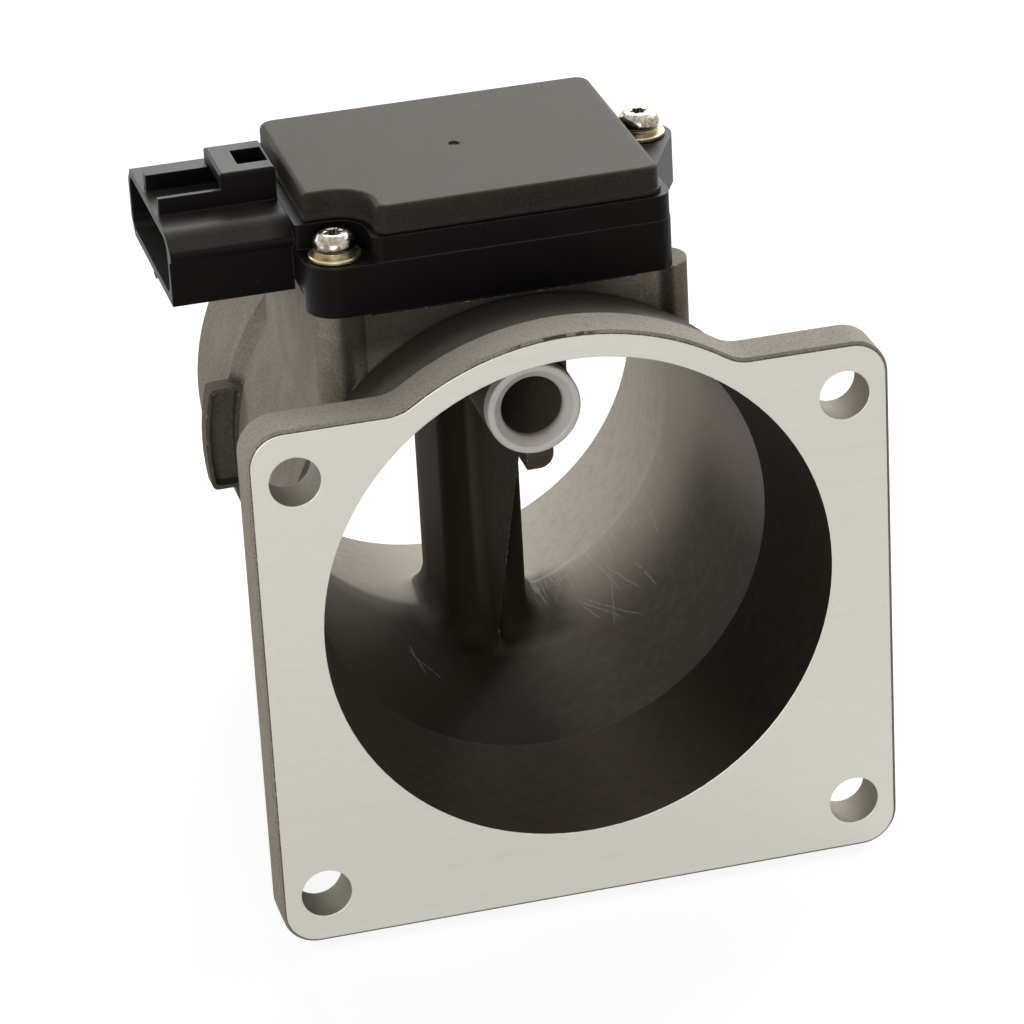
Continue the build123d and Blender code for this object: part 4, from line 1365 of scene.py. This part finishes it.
@dataclass
class Fasteners(Assembly):
    """Screws, washers and bushings of the two ears.

    The recess is listed as (share of its radius, height) from its floor and from the head's
    top, and the brim as (radius, height) from the head's radius and the seat.
    """

    axes: tuple = ((-35.3, 34.6), (35.0, 72.9))
    seat: float = 63.9
    head_radius: float = 4.1
    head_height: float = 3.1
    flat_radius: float = 1.9
    brim: float = 0.85
    brim_profile: tuple = ((-0.06, 0.51), (-0.20, 0.2125), (-0.38, 0.06), (-0.50, 0.0))
    shank_radius: float = 1.95
    shank_end: float = 43.0
    shank_corner: float = 0.05
    shank_tip: float = 0.5
    recess_radius: float = 1.42
    recess_lobe: float = 0.28
    recess_lobes: int = 6
    recess_depth: float = 1.5
    recess_floor: tuple = ((0.6, 0.0), (0.97, 0.0), (1.0, 0.03))
    recess_lip: tuple = ((1.0, -0.2), (1.01, -0.07), (1.06, 0.0))
    columns: int = 96
    dome_rows: int = 15

    def __post_init__(self) -> None:
        """Name the finishes."""
        steel = ScrewSteel(axes=self.axes, top=self.seat + self.head_height, seat=self.seat)
        self.finishes = {
            "module_screws": steel,
            "lock_washers": PlatedMetal("washer_spring", (0.42, 0.36, 0.24), (0.27, 0.22, 0.13),
                                        roughness=0.28),
            "flat_washers": PlatedMetal("washer_yellow", (0.60, 0.54, 0.34), (0.50, 0.45, 0.27),
                                        roughness=0.2),
            "ear_bushings": PlatedMetal("bushing_brass", (0.62, 0.45, 0.18), (0.50, 0.35, 0.13)),
        }

    def build(self) -> None:
        """Turn the two screws, whose heads are smoother than the solids' facets."""
        for name, axis in zip(("front_screw", "rear_screw"), self.axes):
            piece = tube_piece(name, self._screw(axis), self.made["screw_steel"])
            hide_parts("module_screws")

    def _profile(self) -> np.ndarray:
        """Give (radius, height) of a screw from the rim of its recess to the end of its shank.

        The head is a quarter of an ellipse from the flat round the recess down to the brim.

        Returns:
            The profile's points, shaped (rows, 2).
        """
        turn = np.linspace(0.0, np.pi / 2.0, self.dome_rows)
        radii = self.flat_radius + (self.head_radius - self.flat_radius) * np.sin(turn)
        heights = self.seat + self.brim + (self.head_height - self.brim) * np.cos(turn)
        brim = np.array(self.brim_profile) + (self.head_radius, self.seat)
        shank = np.array([
            (self.shank_radius + self.shank_corner, self.seat),
            (self.shank_radius, self.seat - self.shank_corner),
            (self.shank_radius, self.shank_end + self.shank_tip),
            (self.shank_radius - self.shank_tip, self.shank_end),
        ])
        return np.concatenate([np.column_stack([radii, heights]), brim, shank])

    def _screw(self, axis: tuple[float, float]) -> np.ndarray:
        """Give a screw's surface: its profile turned round the axis.

        Rows inside the recess take the radius recess + lobe cos 6a at angle a.

        Args:
            axis: x and y of the screw's axis.

        Returns:
            Points in metres, shaped (rows, columns, 3).
        """
        angle = np.linspace(0.0, 2.0 * np.pi, self.columns, endpoint=False)
        lobed = self.recess_radius + self.recess_lobe * np.cos(self.recess_lobes * angle)
        top = self.seat + self.head_height
        recess = np.concatenate([np.array(self.recess_floor) + (0.0, top - self.recess_depth),
                                 np.array(self.recess_lip) + (0.0, top)])
        profile = self._profile()
        round_rows = np.repeat(profile[:, :1], self.columns, axis=1)
        radius = np.concatenate([recess[:, :1] * lobed, round_rows])
        height = np.concatenate([recess[:, 1:], profile[:, 1:]]) + 0.0 * radius
        across, along = radius * np.cos(angle) + axis[0], radius * np.sin(angle) + axis[1]
        return (np.stack([across, along, height], axis=-1) * MM)[::-1]


@dataclass(frozen=True)
class Softbox:
    """A square area lamp: its name, place and size in metres and power in watts."""

    name: str
    place: Triple
    power: float
    size: float = 0.9

    def hang(self, target: Triple) -> None:
        """Make the lamp and aim it.

        Args:
            target: the point it is aimed at.
        """
        lamp = bpy.data.lights.new(self.name, "AREA")
        lamp.shape = "SQUARE"
        lamp.size = self.size
        lamp.energy = self.power
        holder = bpy.data.objects.new(self.name, lamp)
        holder.location = self.place
        away = Vector(self.place) - Vector(target)
        holder.rotation_euler = away.to_track_quat("Z", "Y").to_euler()
        bpy.context.scene.collection.objects.link(holder)


@dataclass
class Studio:
    """Floor, lamps, world and camera, in metres.

    The floor passes through the flange's lower edge and the outlet collar, on which the
    housing rests.
    """

    flange_bottom: float = -0.0635
    collar_bottom: float = -0.0486
    flange_back: float = 0.009
    collar_back: float = 0.122
    floor_size: float = 6.0
    floor_colour: Colour = (0.35, 0.35, 0.35)
    floor_lift: float = 0.86
    ambient: float = 0.03
    camera_at: Triple = (-0.201216, -0.790574, 0.412687)
    camera_turn: Triple = (64.21129, 2.91409, -14.84013)
    camera_near: float = 0.01
    lens: float = 171.063
    sensor: float = 36.0
    target: Triple = (0.0, 0.05, 0.0)
    lamps: tuple[Softbox, ...] = (
        Softbox("back_softbox", (0.36, 1.25, 0.88), 14.0),
        Softbox("back_right_softbox", (0.90, 1.10, 0.70), 11.0),
        Softbox("back_left_softbox", (-0.80, 1.30, 0.30), 8.5),
        Softbox("right_softbox", (1.10, 0.40, 0.90), 5.0),
        Softbox("left_fill", (-1.30, 0.15, 0.35), 2.6),
        Softbox("front_fill", (-0.45, -1.35, 0.30), 9.0),
    )

    def build(self) -> None:
        """Make everything round the object."""
        self._floor()
        self._world()
        for lamp in self.lamps:
            lamp.hang(self.target)
        self._camera()
        bpy.context.scene.view_settings.view_transform = "Standard"

    def _floor(self) -> None:
        """Lay the floor: a plane through the two edges that the housing rests on."""
        half = self.floor_size / 2.0
        slope = (self.collar_bottom - self.flange_bottom) / (self.collar_back - self.flange_back)
        sides = np.array([[-half, -half], [half, -half], [half, half], [-half, half]])
        height = self.flange_bottom + slope * (sides[:, 1] - self.flange_back)
        mesh = bpy.data.meshes.new("floor")
        mesh.from_pydata(np.column_stack([sides, height]).tolist(), [], [(0, 1, 2, 3)])
        mesh.materials.append(self._floor_paint())
        floor = bpy.data.objects.new("floor", mesh)
        bpy.context.scene.collection.objects.link(floor)

    def _floor_paint(self) -> Material:
        """Make the floor white to the camera, while it still takes the object's shadow.

        Returns:
            The floor's material.
        """
        material = bpy.data.materials.new("floor")
        material.use_nodes = True
        nodes = Nodes(material.node_tree)
        diffuse = nodes.node("ShaderNodeBsdfDiffuse", {}, {"Color": self.floor_colour})
        lift = nodes.seen_by(Ray.CAMERA, Ray.GLOSSY) * self.floor_lift
        glow = nodes.node("ShaderNodeEmission", {}, {"Color": WHITE, "Strength": lift})
        both = nodes.node("ShaderNodeAddShader", {}, {0: diffuse.outputs[0], 1: glow.outputs[0]})
        nodes.node("ShaderNodeOutputMaterial", {}, {0: both.outputs[0]})
        return material

    def _world(self) -> None:
        """Make the world: plain white to the camera and in reflections, softer as a light."""
        world = bpy.data.worlds.new("studio")
        bpy.context.scene.world = world
        world.use_nodes = True
        nodes = Nodes(world.node_tree)
        seen = nodes.seen_by(Ray.CAMERA, Ray.GLOSSY, Ray.TRANSMISSION)
        strength = seen * (1.0 - self.ambient) + self.ambient
        background = nodes.node("ShaderNodeBackground", {}, {"Color": WHITE, "Strength": strength})
        nodes.node("ShaderNodeOutputWorld", {}, {0: background.outputs[0]})

    def _camera(self) -> None:
        """Set the camera where the photograph was taken from."""
        lens = bpy.data.cameras.new("camera")
        lens.lens = self.lens
        lens.sensor_width = self.sensor
        lens.clip_start = self.camera_near
        camera = bpy.data.objects.new("camera", lens)
        camera.location = self.camera_at
        camera.rotation_euler = Euler([math.radians(angle) for angle in self.camera_turn], "XYZ")
        bpy.context.scene.collection.objects.link(camera)
        bpy.context.scene.camera = camera


def main() -> None:
    """Dress the frame, add the pieces and set the studio, in order."""
    logging.basicConfig(level=logging.INFO, format="%(name)s: %(message)s")
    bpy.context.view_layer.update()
    nodes = frame["nodes"]
    for assembly in (Housing(nodes), SensorModule(nodes), Probe(nodes), Fasteners(nodes)):
        log.info("assembly %s", type(assembly).__name__)
        assembly.dress()
        assembly.build()
    Studio().build()


if __name__ == "__main__":
    main()
